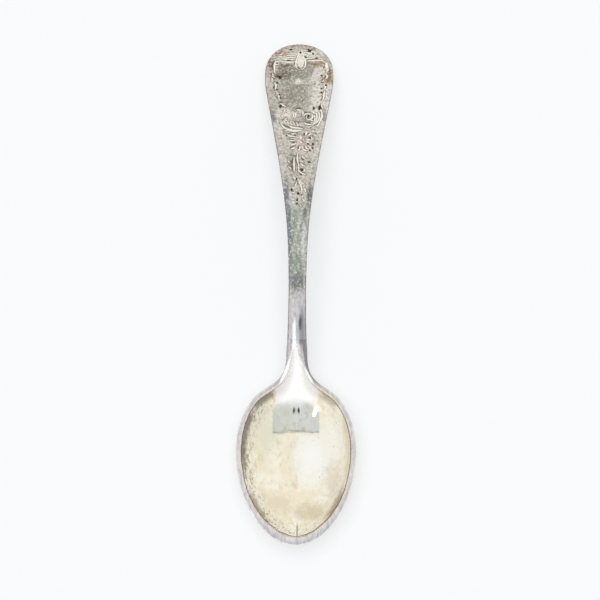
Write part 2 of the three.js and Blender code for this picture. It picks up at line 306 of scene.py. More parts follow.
# ---------------------------------------------------------------- the bowl
SIDE = 150  # points along each side of the bowl
TAB_ACROSS = 11  # points along the tab's end face
DISH_CENTRE = 28  # the rows shrink towards this station


def shrink(x, s, k):
    return x * k, DISH_CENTRE + (s - DISH_CENTRE) * k


def bowl_side():
    """The right side of the outline and of the hollow's edge, index for index, denser at the neck."""
    dense = cosine_stations(0, TAB_END)
    out_x, out_s = spaced(plan_half(dense), dense, SIDE, lambda s: 1 + 1.2 * np.exp(-((s - 45) / 6) ** 2))
    in_x, in_s = rim_point(out_x, out_s)
    in_x[0], in_s[0] = 0, RIM_TIP
    return out_x, out_s, in_x, in_s


def distance_to_loop(obj, x, s):
    """Each vertex's distance to a closed loop, in plan."""
    return distance_to_outline(plan_of(obj), np.stack([np.append(x, x[0]), np.append(s, s[0])], axis=1))


def rim_bead(t):
    """Height lost across the rim band, t = 0 at the outer edge and 1 at the hollow's edge."""
    return 0.16 * np.abs(2 * t - 1) ** 3.2


def bowl():
    shell = Shell()
    out_x, out_s, in_x, in_s = bowl_side()
    t = np.linspace(1, -1, TAB_ACROSS + 2)[1:-1]
    ox, os_ = ring(out_x, out_s, out_x[-1] * t, np.full(TAB_ACROSS, out_s[-1]))
    ix, is_ = ring(in_x, in_s, in_x[-1] * t, np.full(TAB_ACROSS, in_s[-1]))
    neck = ease(41, 51, os_)

    def band(t):
        """A row on the rim: t = 0 at the outline, 1 at the hollow's edge."""
        x, s = ox + (ix - ox) * t, os_ + (is_ - os_) * t
        plain = rim_height(s) - rim_bead(t)
        return to_frame(x, s, plain * (1 - neck) + neck_top(x, s) * neck)

    rows = []
    for k in (1 - np.linspace(0, 1, 46)[1:-1] ** 1.5 * 0.97)[::-1]:  # from the middle of the hollow outwards
        x, s = shrink(ix, is_, k)
        rows.append(to_frame(x, s, hollow_z(x, s) - rim_bead(1.0) * ease(0.93, 1, k) * (1 - neck)))
    rows += [band(t) for t in (1.0, 0.93, 0.82, 0.68, 0.5, 0.32, 0.18, 0.08, 0.02)]
    # down the outer edge, then the underside
    top, low = band(0.0), to_frame(ox, os_, rim_height(os_) - LIP)
    rows += [top + (low - top) * t for t in (0.0, 0.35, 0.7, 1.0)]
    for k in 1 - np.linspace(0, 1, 46)[1:-1] ** 1.4 * 0.97:
        x, s = shrink(ox, os_, k)
        rows.append(to_frame(x, s, under_z(x, s)))
    rows = [shell.add(row) for row in rows]
    shell.chain(rows[::-1])
    shell.fan(rows[0], to_frame(0, DISH_CENTRE, hollow_z(0.0, DISH_CENTRE)))
    shell.fan(rows[-1][::-1], to_frame(0, DISH_CENTRE, under_z(0.0, DISH_CENTRE)))

    obj = shell.build("bowl_fine")
    obj.data.set_sharp_from_angle(angle=math.radians(40))
    out, into = distance_to_loop(obj, ox, os_), distance_to_loop(obj, ix, is_)
    paint(obj, "inner", out / np.maximum(out + into, 1e-6))  # 0 at the rim's outer edge, 1 at the hollow's
    paint(obj, "inset", out)
    return obj


# ---------------------------------------------------------------- the gold wash
GILT_GAP, GILT_THICK = 0.02, 0.025
GILT_FADE, GILT_END = 42, 46.5  # it draws together between these stations


def wander(i, seed, scale):
    """A slow random walk round a loop, the same every time."""
    return noise.noise(Vector((math.cos(i) * scale, math.sin(i) * scale, seed)))


def gilding():
    shell = Shell()
    x, s = bowl_side()[2:]
    back = s > GILT_FADE
    t = np.clip((s - GILT_FADE) / (HOLLOW_END - GILT_FADE), 0, 1)
    at = GILT_FADE + (GILT_END - GILT_FADE) * np.sin(math.pi / 2 * t)
    drawn = hollow_half(at) * np.sqrt(np.clip(1 - ((at - GILT_FADE) / (GILT_END - GILT_FADE)) ** 3, 0, 1))
    x, s = np.where(back, drawn, x), np.where(back, at, s)
    x[-1] = 0
    gx, gs = ring(x, s)
    angles = np.linspace(0, 2 * math.pi, len(gx), endpoint=False)
    worn = np.array([0.007 * wander(a, 3.1, 5.0) + 0.004 * wander(a, 8.4, 22.0) for a in angles])

    def rows(lift):
        """From the border inwards."""
        made = []
        for k in 1 - np.linspace(0, 1, 40)[:-1] ** 1.3:
            px, ps = shrink(gx, gs, k * (0.978 + worn * ease(0.8, 1, k)))
            made.append(shell.add(to_frame(px, ps, hollow_z(px, ps) + lift + 0.02 * ease(33, 40, ps))))
        return made

    top, low = rows(GILT_GAP + GILT_THICK), rows(GILT_GAP)
    shell.chain(low[::-1] + top)
    middle = hollow_z(0.0, DISH_CENTRE) + GILT_GAP
    shell.fan(top[-1], to_frame(0, DISH_CENTRE, middle + GILT_THICK))
    shell.fan(low[-1][::-1], to_frame(0, DISH_CENTRE, middle))
    obj = shell.build("gold_wash_fine")
    paint(obj, "edge", distance_to_loop(obj, gx, gs))
    return obj


# ---------------------------------------------------------------- engraving
BOLD = 1.9  # one factor for the width of every cut


def curve(points, gap=0.2):
    """A smooth curve through control points, resampled every gap."""
    p = np.array(points, float)
    if len(p) > 2:
        ends = np.vstack([2 * p[0] - p[1], p, 2 * p[-1] - p[-2]])
        fine = []
        for i in range(1, len(ends) - 2):
            a, b, c, d = ends[i - 1:i + 3]
            for t in np.linspace(0, 1, 12, endpoint=False):
                fine.append(0.5 * (2 * b + (c - a) * t + (2 * a - 5 * b + 4 * c - d) * t ** 2
                                   + (3 * b - a - 3 * c + d) * t ** 3))
        p = np.vstack([fine, ends[-2]])
    run = np.concatenate([[0], np.cumsum(np.hypot(*np.diff(p, axis=0).T))])
    want = np.linspace(0, run[-1], max(4, int(round(run[-1] / gap))) + 1)
    return np.stack([np.interp(want, run, p[:, 0]), np.interp(want, run, p[:, 1])], axis=1)


def facing(way):
    """How squarely a cut's left wall, seen along its way, faces the light from the upper left: 1 to -1."""
    return (way[:, 1] * -0.5 - way[:, 0] * 0.87) / np.maximum(np.hypot(way[:, 0], way[:, 1]), 1e-9)


class Engraving:
    """Graver cuts in the handle's face: each one a V groove that swells and runs out."""

    def __init__(self, first_station):
        self.cuts = []
        self.first = first_station
        s = first_station + (LENGTH - first_station) * np.sin(np.linspace(0, math.pi / 2, 400))
        self.edge = np.stack([plan_half(s), s], axis=1)

    def cut(self, points, width=0.3, swell=0.5, lean=0.0, steep=0.42, dark=False):
        line = curve(points)
        t = np.linspace(0, 1, len(line))
        half = 0.5 * BOLD * width * np.sin(math.pi * t ** (math.log(0.5) / math.log(swell))) ** 0.75
        half[0] = half[-1] = 0
        # pulled in from the bevel, towards the middle of the face
        need = TOP_ROWS[0] + 0.12 + half * 1.45
        for _ in range(3):
            short = np.maximum(0, need - distance_to_outline(np.abs(line), self.edge))
            inward = np.stack([0 * short, np.minimum(line[:, 1], 131)], axis=1) - line
            inward /= np.maximum(np.linalg.norm(inward, axis=1), 1e-9)[:, None]
            line = line + inward * short[:, None]
        line[:, 1] = np.maximum(line[:, 1], self.first + 0.3)
        lean = lean * 0.3 - 0.45 * np.clip(1.5 * facing(np.gradient(line, axis=0)), -1, 1)
        self.cuts.append({"line": line, "left": half * (1 - lean), "right": half * (1 + lean),
                          "deep": half * steep, "tone": -1.0 if dark else 1.0})

    def gouge(self, x, s, long, wide, angle=90.0, steep=0.7):
        """A short deep cut with dirt in it."""
        dx, ds = math.cos(math.radians(angle)) * long / 2, math.sin(math.radians(angle)) * long / 2
        self.cut([(x - dx, s - ds), (x, s), (x + dx, s + ds)], wide, steep=steep, dark=True)

    def spiral(self, x, s, radius, turns, start, width, way=1, inner=0.25):
        steps = max(6, int(abs(turns) * 10))
        points = []
        for i in range(steps + 1):
            t = i / steps
            a = math.radians(start) + way * 2 * math.pi * turns * t
            r = radius * (inner + (1 - inner) * (1 - t))
            points.append((x + r * math.cos(a), s + r * math.sin(a)))
        self.cut(points, width, swell=0.35)

    def depth(self, p):
        """At points: depth of the cuts, how near the nearest is (1 in it, 0 far off), and its tone: painted
        light on a wall that faces the light, painted shade on one turned away, -1 for a dark cut.
        """
        deep, near, tone = np.zeros(len(p)), np.zeros(len(p)), np.zeros(len(p))
        spread = 0.4
        for c in self.cuts:
            line = c["line"]
            far = max(c["left"].max(), c["right"].max()) + 3 * spread
            lo, hi = line.min(0) - far, line.max(0) + far
            who = np.where(np.all((p > lo) & (p < hi), axis=1))[0]
            if not len(who):
                continue
            q = p[who]
            a, b = line[:-1], line[1:]
            ab = b - a
            t = np.clip(((q[:, None] - a) * ab).sum(2) / (ab ** 2).sum(1), 0, 1)
            foot = a + ab * t[..., None]
            gap = np.linalg.norm(q[:, None] - foot, axis=2)
            k = gap.argmin(1)
            rows = np.arange(len(q))
            tt, dist = t[rows, k], gap[rows, k]
            off = q - a[k]
            left = ab[k, 0] * off[:, 1] - ab[k, 1] * off[:, 0] > 0
            half = np.where(left, c["left"][k] * (1 - tt) + c["left"][k + 1] * tt,
                            c["right"][k] * (1 - tt) + c["right"][k + 1] * tt)
            bottom = c["deep"][k] * (1 - tt) + c["deep"][k + 1] * tt
            inside = bottom * np.clip(1 - dist / np.maximum(half, 1e-9), 0, 1)
            # painted light and shade: the wall that faces the light from the upper left is bright, the other
            # dark
            lit = facing(ab[k])
            lit = np.clip(0.6 + 1.4 * np.where(left, lit, -lit), -0.7, 1.0) if c["tone"] > 0 else -1.0
            tone[who] = np.where(inside > np.maximum(deep[who], 1e-4), lit, tone[who])
            deep[who] = np.maximum(deep[who], inside)
            near[who] = np.maximum(near[who], np.exp(-np.maximum(0, dist - half) / spread))
        return deep, near, tone

    def outlines(self):
        """Points and edges of every cut: its two lips and its bottom."""
        points, edges = [], []
        for c in self.cuts:
            line = c["line"]
            way = np.gradient(line, axis=0)
            way /= np.maximum(np.linalg.norm(way, axis=1), 1e-9)[:, None]
            side = np.stack([-way[:, 1], way[:, 0]], axis=1)
            base = len(points)
            n = len(line)
            points.extend(line)
            edges += [(base + i, base + i + 1) for i in range(n - 1)]
            for lip in (line + side * c["left"][:, None], line - side * c["right"][:, None]):
                first = len(points)
                points.extend(lip[1:-1])
                rail = [base, *range(first, first + n - 2), base + n - 1]
                edges += list(zip(rail, rail[1:]))
        return points, edges


def palmette(e):
    """The drooping leaf at the top of the cartouche, with its wings."""
    e.cut([(0.0, 138.4), (-0.5, 136.2), (-1.1, 134.0), (-0.95, 132.4), (0.15, 131.0)], 0.34, lean=0.3)
    e.cut([(0.5, 138.4), (0.9, 136.2), (1.5, 134.0), (1.35, 132.3), (0.3, 131.0)], 0.34, lean=-0.3)
    for i in range(-3, 4):
        e.cut([(0.22 + 0.06 * i, 136.3), (0.22 + 0.26 * i, 134.0), (0.22 + 0.2 * i, 131.7 + 0.09 * i * i)],
              0.24, swell=0.6)
    e.gouge(0.25, 137.1, 0.9, 0.42)
    for drop, rise, long, wide in (
            (134.15, 0.1, 4.7, 0.5), (134.95, 0.35, 3.6, 0.34), (135.6, 0.25, 3.9, 0.32),
            (136.25, 0.1, 3.6, 0.34), (136.9, -0.1, 3.0, 0.36), (137.55, -0.2, 2.3, 0.36),
            (138.15, -0.25, 1.5, 0.3)):
        e.cut([(-0.85, drop), (-0.85 - long / 2, drop + rise * 0.2), (-0.85 - long, drop + rise)],
              wide, 0.4, 0.25)
    for x, s, dx, ds, wide in ((-4.6, 137.0, -1.5, -0.7, 0.34), (-4.8, 136.1, -1.6, -0.6, 0.34),
                               (-5.3, 135.3, -1.6, -0.5, 0.36), (-5.4, 134.5, -1.5, -0.2, 0.4),
                               (4.6, 136.6, 1.3, -0.8, 0.34), (5.2, 135.6, 1.4, -0.9, 0.36)):
        e.cut([(x, s), (x + dx / 2, s + ds * 0.3), (x + dx, s + ds)], wide, 0.5, 0.2)
    e.cut([(1.5, 134.0), (2.6, 134.55), (4.4, 134.8), (6.3, 134.7), (7.2, 133.9)], 0.5, 0.5, -0.25)
    e.gouge(-3.0, 134.45, 1.3, 0.36, 3)
    e.gouge(1.75, 135.65, 1.0, 0.36, 152)
    e.gouge(2.9, 138.35, 1.1, 0.5, 165)
    e.gouge(-2.4, 138.2, 1.0, 0.3, 5)
    e.gouge(3.8, 136.75, 0.900001, 0.34, 125)
    e.gouge(4.8, 135.35, 0.9, 0.34, 0)
    e.cut([(1.4, 135.0), (2.6, 135.4), (4.0, 135.4)], 0.3, 0.4, -0.25)
    e.cut([(1.2, 136.0), (2.4, 135.9), (3.4, 135.9), (4.9, 135.3)], 0.3, 0.4, -0.2)
    e.cut([(1.2, 136.9), (2.3, 136.5), (3.4, 136.1)], 0.38, 0.45, -0.25)
    e.cut([(1.0, 137.6), (2.4, 137.3), (3.6, 136.9), (4.4, 136.1)], 0.36, 0.4, -0.25)
    e.cut([(0.8, 138.2), (2.2, 138.0), (3.6, 137.6)], 0.3, 0.4, -0.2)


def side_scrolls(e):
    """Broken C-scrolls down both sides of the cartouche."""
    e.spiral(-6.1, 133.7, 0.75, 1.1, 100, 0.32)
    e.cut([(-6.8, 134.2), (-7.15, 132.9), (-7.05, 131.5), (-6.9, 130.1)], 0.46, 0.45, 0.2)
    e.cut([(-7.5, 130.2), (-7.3, 129.3), (-6.6, 128.6)], 0.32)
    e.gouge(-5.35, 128.7, 1.1, 0.5, 100)
    e.cut([(-7.7, 128.7), (-7.4, 127.7), (-6.9, 127.0)], 0.34)
    e.cut([(-6.9, 127.1), (-6.65, 126.0), (-6.6, 124.5)], 0.42, 0.4)
    e.gouge(-6.95, 125.5, 0.9, 0.34, 85)
    e.cut([(-6.5, 124.5), (-5.95, 123.3), (-5.6, 122.1), (-5.15, 121.1)], 0.42, 0.5, -0.2)
    e.gouge(-5.5, 123.0, 0.7, 0.28, 120)
    e.gouge(-5.15, 122.0, 0.7, 0.28, 130)
    e.cut([(6.7, 134.3), (7.5, 133.3), (7.75, 132.0), (7.35, 130.6)], 0.66, 0.55, -0.2)
    e.cut([(6.4, 133.4), (6.9, 132.4), (6.9, 131.3)], 0.26)
    e.cut([(7.2, 130.2), (7.55, 129.2), (7.1, 128.2)], 0.36)
    e.cut([(6.9, 128.3), (6.3, 127.6), (5.8, 127.5)], 0.28)
    e.cut([(6.5, 126.9), (6.95, 125.9), (6.9, 124.7)], 0.44, 0.4)
    e.gouge(7.25, 126.3, 0.8, 0.3, 60)
    e.cut([(7.0, 124.7), (6.6, 123.4), (6.55, 122.1), (6.2, 120.9)], 0.4, 0.4, 0.2)
    for s in (129.4, 127.3, 125.1, 123.9):
        e.gouge(6.2 if s > 126 else 6.1, s, 0.5, 0.22, 45)
        e.gouge(-6.0, s - 0.4, 0.5, 0.22, 135)


def lower_scrolls(e):
    """The scrollwork that closes the cartouche below."""
    e.cut([(-5.5, 120.1), (-4.9, 120.5), (-4.2, 119.9), (-3.3, 119.1)], 0.46, 0.4)
    e.gouge(-5.1, 119.4, 1.2, 0.36, 88)
    for i in range(9):  # rosette
        a = math.radians(20 + 40 * i)
        e.cut([(-3.9 + 0.25 * math.cos(a), 117.2 + 0.25 * math.sin(a)),
               (-3.9 + 1.25 * math.cos(a), 117.2 + 1.1 * math.sin(a))], 0.42, 0.6)
    for r, w in ((1.75, 0.3), (2.25, 0.34)):
        e.cut([(-3.3 + r * math.cos(a), 116.5 + 0.85 * r * math.sin(a)) for a in (0.85, 0.4, -0.1, -0.6)], w)
    e.spiral(-3.4, 115.3, 0.55, 0.9, 60, 0.26)
    e.cut([(-0.9, 118.3), (-0.1, 118.6), (0.65, 117.9), (1.0, 117.0), (0.85, 116.2)], 0.56, 0.4)
    e.cut([(-0.5, 117.8), (0.1, 117.6), (0.4, 117.0)], 0.26)
    e.spiral(2.55, 116.2, 1.4, 1.3, 190, 0.4, way=-1)
    e.gouge(2.55, 116.35, 0.6, 0.42, 80)
    e.cut([(3.1, 115.6), (3.6, 115.2), (4.2, 115.0)], 0.36)
    e.cut([(4.5, 115.6), (4.9, 115.1), (5.1, 114.6)], 0.28)
    e.gouge(5.65, 119.0, 1.7, 0.55, 78)
    e.gouge(4.0, 118.8, 0.9, 0.28, 90)
    e.cut([(6.0, 120.3), (6.05, 119.2), (5.7, 118.0)], 0.32)
    for x, top, wide in ((5.95, 118.0, 0.42), (5.3, 117.8, 0.36), (4.65, 117.4, 0.32), (4.1, 116.8, 0.26)):
        e.cut([(x, top), (x + 0.1, top - 1.5), (x - 0.3, top - 3.0), (x - 0.9, top - 4.1)], wide, 0.35)
    e.cut([(-5.4, 115.3), (-4.8, 113.9), (-3.6, 112.9), (-2.0, 112.3), (-0.2, 112.1), (1.5, 112.15)],
          0.56, 0.6, 0.2)
    e.cut([(-3.3, 113.7), (-1.7, 113.15), (0.0, 112.85), (1.4, 112.5)], 0.55, 0.55, 0.2)
    for i in range(7):  # feathering inside the crescent
        x = -5.1 + 0.86 * i
        points = [(x, 115.3 - 0.14 * i), (x + 0.45, 114.5 - 0.16 * i), (x + 0.95, 113.75 - 0.1 * i)]
        e.cut(points, 0.3, 0.6, 0.2)
    e.cut([(1.5, 114.4), (2.6, 114.05), (3.9, 114.0)], 0.44, 0.45)
    e.cut([(1.9, 113.3), (2.6, 113.1), (3.4, 113.3)], 0.3)
    e.cut([(4.1, 113.2), (5.1, 113.8), (5.7, 115.0)], 0.34)


def flower_spray(e):
    """A ragged flower with leaves, under the scrollwork."""
    for *line, wide in (
            ((-0.6, 110.0), (-2.2, 110.4), (-3.9, 110.9), 0.42),
            ((-0.3, 110.6), (-1.2, 111.0), (-2.2, 111.0), 0.42),
            ((-0.8, 109.4), (-1.8, 109.6), (-2.6, 109.5), 0.26),
            ((-0.2, 109.2), (-1.5, 109.0), (-2.9, 109.0), 0.3),
            ((-0.6, 108.1), (-1.4, 107.9), (-2.3, 107.9), 0.46),
            ((-2.1, 108.0), (-2.5, 108.5), (-2.9, 109.0), 0.34),
            ((-0.8, 107.0), (-1.4, 106.8), (-2.2, 106.3), 0.48),
            ((0.3, 107.2), (0.0, 106.3), (0.0, 105.5), 0.4),
            ((0.5, 108.9), (0.5, 109.6), (0.2, 110.6), 0.34),
            ((0.2, 108.9), (0.7, 108.5), (1.2, 108.1), 0.34),
            ((0.9, 107.2), (1.4, 106.4), (2.6, 105.7), 0.42),
            ((1.6, 107.4), (2.2, 106.7), (2.9, 106.3), 0.3),
            ((1.9, 108.7), (2.8, 108.3), (3.5, 107.2), 0.42),
            ((2.7, 107.3), (3.3, 106.4), (4.0, 105.4), 0.46),
            ((1.6, 109.4), (2.6, 109.3), (3.3, 109.6), 0.3),
            ((3.3, 110.2), (3.8, 109.7), (4.2, 109.1), 0.46),
            ((1.4, 110.2), (1.8, 111.0), (1.9, 111.8), 0.4),
            ((2.2, 110.3), (2.8, 110.7), (3.2, 111.3), 0.3),
            ((3.7, 112.1), (4.1, 111.8), (4.5, 111.3), 0.5),
            ((4.4, 108.9), (4.9, 108.5), (5.2, 107.9), 0.34),
            ((4.0, 110.9), (4.7, 110.5), (5.1, 109.9), 0.3)):
        e.cut(line, wide, 0.55, 0.2)
    for x, s, angle in (
            (-1.0, 110.45, 155), (-3.2, 110.35, 150), (1.5, 110.6, 90), (3.1, 109.5, 120),
            (0.0, 106.4, 120), (2.6, 107.8, 140), (3.9, 107.7, 140), (3.7, 106.5, 120), (3.1, 105.9, 130)):
        e.gouge(x, s, 0.75, 0.34, angle)
    e.cut([(-4.2, 111.6), (-3.4, 111.9), (-2.6, 111.6)], 0.24)


def leaf_sprig(e):
    """The stem and paired leaves running down to the bare shank."""
    e.cut([(-1.2, 104.0), (-1.45, 102.0), (-1.2, 99.2)], 0.4, 0.5, -0.2, 0.55)
    for *line, wide in (
            ((1.0, 104.2), (1.4, 103.6), (2.2, 103.1), 0.4),
            ((0.5, 102.2), (1.1, 101.7), (1.8, 101.0), 0.42),
            ((0.1, 100.1), (0.7, 99.4), (2.2, 98.6), 0.4),
            ((1.4, 100.4), (1.5, 100.0), (1.2, 99.6), 0.28),
            ((0.3, 97.3), (1.0, 96.4), (1.9, 95.8), 0.44), ((1.5, 94.8), (1.7, 94.2), (1.95, 93.5), 0.36),
            ((1.3, 92.9), (1.0, 92.3), (0.9, 91.9), 0.28), ((1.0, 91.8), (1.3, 91.3), (1.6, 90.8), 0.26),
            ((-2.9, 103.0), (-2.6, 102.5), (-2.1, 102.0), 0.26),
            ((-2.8, 101.2), (-2.3, 100.7), (-2.0, 100.0), 0.26),
            ((-1.4, 98.0), (-1.1, 97.6), (-1.0, 97.0), 0.34),
            ((-1.8, 95.3), (-1.5, 94.8), (-1.4, 94.2), 0.32),
            ((-1.9, 93.6), (-1.4, 93.5), (-0.9, 93.8), 0.3), ((0.4, 90.3), (0.7, 89.8), (1.1, 89.4), 0.26)):
        e.cut(line, wide, 0.5, -0.2)
    e.cut([(-0.2, 105.4), (-0.5, 103.4), (0.0, 101.0), (-0.3, 98.4)], 0.26, 0.3)
    e.cut([(-0.5, 98.2), (0.2, 96.4), (0.8, 94.4), (0.9, 92.9)], 0.34, 0.4)
    e.cut([(0.1, 97.0), (0.5, 96.3), (1.0, 95.5)], 0.3)
    e.cut([(-0.4, 96.6), (-0.8, 95.8), (-1.0, 95.0)], 0.24)
    e.cut([(0.4, 102.9), (1.0, 102.6), (1.5, 102.2)], 0.26)
    for x, s, long, wide, angle in (
            (0.85, 99.95, 1.0, 0.5, 120), (-0.5, 97.4, 0.7, 0.34, 90), (-1.75, 94.1, 0.8, 0.36, 100),
            (-0.1, 93.2, 0.8, 0.4, 70), (-0.35, 91.3, 0.7, 0.3, 60), (-0.35, 90.3, 0.5, 0.26, 45),
            (2.9, 102.4, 0.9, 0.26, 160), (1.3, 103.2, 0.9, 0.28, 150), (0.7, 98.8, 1.0, 0.24, 150)):
        e.gouge(x, s, long, wide, angle)


def engraving():
    e = Engraving(SPLIT)
    for part in (palmette, side_scrolls, lower_scrolls, flower_spray, leaf_sprig):
        part(e)
    return e


# ---------------------------------------------------------------- the handle
# distances in from the outline of the rows round the edge, down from the face and on to the back
TOP_ROWS = [0.9, 0.74, 0.6, 0.47, 0.35, 0.25, 0.17, 0.1, 0.05, 0.015, 0.0]
BACK_ROWS = [0.0, 0.02, 0.06, 0.13, 0.22, 0.33, 0.5, 0.9]
FACE_ACROSS = 11  # points across the face, and across the back
EDGE_SOFT = 0.12
LAP = 0.12  # solder between the tab and the tongue
TONGUE_SWELL = 0.3


def soft_edge(d, r):
    return r * (1 - np.sqrt(1 - np.clip(1 - d / r, 0, 1) ** 2))


def closed_section(half, scale, top, back, at):
    """Round a section: top left to right, right edge down, back right to left, left edge up."""
    face = (half - TOP_ROWS[0] * scale) * np.linspace(-1, 1, FACE_ACROSS)
    rt = half - np.array(TOP_ROWS[1:]) * scale
    rb = half - np.array(BACK_ROWS[:-1]) * scale
    x = np.concatenate([face, rt, rb, face[::-1], -rb[::-1], -rt[::-1]])
    z = np.concatenate([top(face), top(rt), back(rb), back(face[::-1]), back(-rb[::-1]), top(-rt[::-1])])
    return to_frame(x, at, z)


def stem_section(s):
    half = float(plan_half(s))

    def top(x):
        d = np.maximum(0, half - np.abs(x))
        return handle_top(d, s) - soft_edge(d, EDGE_SOFT)

    return closed_section(half, 1.0, top, lambda x: handle_back(np.maximum(0, half - np.abs(x)), s), s)


def tongue_half(s):
    u = np.clip((TAB_END - s) / (TAB_END - TONGUE_TIP), 0, 1)
    return (plan_half(TAB_END) + TONGUE_SWELL * np.sin(math.pi * u)) * np.sqrt(1 - u ** 4)


def tongue_section(s, at=None):
    """The tongue's section at a station, placed there or at another station."""
    half = max(0.12, float(tongue_half(s)))
    thick = float(along(TONGUE_THICK, s)) * min(1, 0.25 + half / 1.2)
    under_lap = 0.46 + 0.1 * math.exp(-((s - 46) / 3) ** 2)
    scale = min(1.0, half / TOP_ROWS[0] / 1.6)  # the edge rows close up where the tongue is narrow

    def back(x):
        soft = soft_edge(np.maximum(0, half - np.abs(x)), 0.3 * scale)
        deep = thick * (1 - np.abs(x / half) ** BACK_ROUND)
        return np.maximum(0.02, under_z(x, s) - under_lap - deep + soft)

    return closed_section(half, scale, lambda x: under_z(x, s) - LAP, back, s if at is None else at)


def distance_to_outline(p, outline):
    best = np.full(len(p), 1e9)
    a, b = outline[:-1], outline[1:]
    ab = b - a
    size = (ab ** 2).sum(1)
    for i in range(0, len(p), 2000):
        q = p[i:i + 2000]
        t = np.clip(((q[:, None] - a) * ab).sum(2) / size, 0, 1)
        best[i:i + 2000] = np.linalg.norm(q[:, None] - (a + ab * t[..., None]), axis=2).min(1)
    return best


def panel(shell, loop, loop_xs, inside, edges, height, up=True):
    """Fills a loop of existing points with triangles through the inside points."""
    n = len(loop)
    points = [Vector((float(a), float(b))) for a, b in np.vstack([loop_xs, inside])]
    rails = [(i, (i + 1) % n) for i in range(n)] + [(a + n, b + n) for a, b in edges]
    verts, _, faces, source, _, _ = delaunay_2d_cdt(points, rails, [], 1, 1e-5)
    xs = np.array([tuple(v) for v in verts])
    fresh = np.array([not any(k < n for k in src) for src in source])
    index = np.empty(len(xs), int)
    for i, src in enumerate(source):
        if not fresh[i]:
            index[i] = loop[min(src)]
    index[fresh] = shell.add(height(xs[fresh]))
    for face in faces:
        ids = [int(index[k]) for k in face]
        shell.faces.append(tuple(ids if up else ids[::-1]))
    return len(faces)


def tongue_and_shank(shell):
    """Closed sections from the tongue's tip to the split. Returns the last of them."""
    stations = [TONGUE_TIP + (TAB_END - TONGUE_TIP) * (1 - math.cos(math.pi / 2 * i / 34)) for i in range(35)]
    sections = [shell.add(tongue_section(s)) for s in stations]
    # the step at the shoulder has the tongue's top and the shank's back
    onset = shell.add(stem_section(SHOULDER))
    step = tongue_section(TAB_END, SHOULDER)
    over = np.r_[0:FACE_ACROSS + len(TOP_ROWS) - 1, len(step) - len(TOP_ROWS) + 1:len(step)]
    shelf = onset.copy()
    shelf[over] = shell.add(step[over])
    sections += [shelf, onset]
    for s in [*np.arange(SHOULDER + 0.6, SPLIT - 0.3, 0.6), SPLIT]:
        sections.append(shell.add(stem_section(s)))
    shell.chain(sections)
    shell.fan(sections[0][::-1], tongue_section(TONGUE_TIP).mean(0))
    return sections[-1]


def end_outline(count=130):
    """The outline from the split round the handle's end and back, and the way outwards at each point."""
    dense = SPLIT + (LENGTH - SPLIT) * np.sin(np.linspace(0, math.pi / 2, 3000))
    x, s = spaced(plan_half(dense), dense, count)
    x[-1] = 0
    way = np.stack([np.gradient(x), np.gradient(s)], axis=1)
    way[-1] = (-1, 0)
    way /= np.linalg.norm(way, axis=1)[:, None]
    out = np.stack([way[:, 1], -way[:, 0]], axis=1)
    turn = ease(0, 12, np.arange(count + 1.0))[:, None]  # straight across at first, to meet the shank
    out = np.array([[1.0, 0.0]]) * (1 - turn) + out * turn
    return [np.vstack([side, (side * [-1, 1])[:-1][::-1]]) for side in (np.stack([x, s], axis=1), out)]


def edge_rows(shell, split, outline, out):
    """The edge's rows, from the face down to the back. Returns the first and the last."""
    depths = TOP_ROWS + BACK_ROWS
    rights = split[FACE_ACROSS - 1:FACE_ACROSS - 1 + len(depths)]
    lefts = np.concatenate([[split[0]], split[::-1]])
    rows = []
    for k, d in enumerate(depths):
        x, s = (outline - out * d)[1:-1].T
        z = handle_top(d, s) - soft_edge(d, EDGE_SOFT) if k < len(TOP_ROWS) else handle_back(d, s)
        rows.append(np.concatenate([[rights[k]], shell.add(to_frame(x, s, z)), [lefts[k]]]))
    shell.chain(rows[::-1], closed=False)
    return rows[0], rows[-1]


def face_loop(across, row, inset, outline, out):
    """A face's border, as points and as places in plan: across the split, then round the edge."""
    half = float(plan_half(SPLIT)) - inset
    start = np.stack([half * np.linspace(-1, 1, FACE_ACROSS), np.full(FACE_ACROSS, SPLIT)], axis=1)
    return np.concatenate([across, row[1:-1]]), np.vstack([start, (outline - out * inset)[1:-1]])


def face_grid(outline, gap, start, border):
    """A hexagonal grid on the handle, from a little past the split and this far in from the outline."""
    rows = []
    for i, s in enumerate(np.arange(SPLIT + start, LENGTH, gap * 0.866)):
        xs = np.arange(-10 + (gap / 2 if i % 2 else 0), 10, gap)
        rows.append(np.stack([xs, np.full(len(xs), s)], axis=1))
    grid = np.vstack(rows)
    grid = grid[np.abs(grid[:, 0]) < plan_half(grid[:, 1])]
    return grid[distance_to_outline(grid, outline) > border]


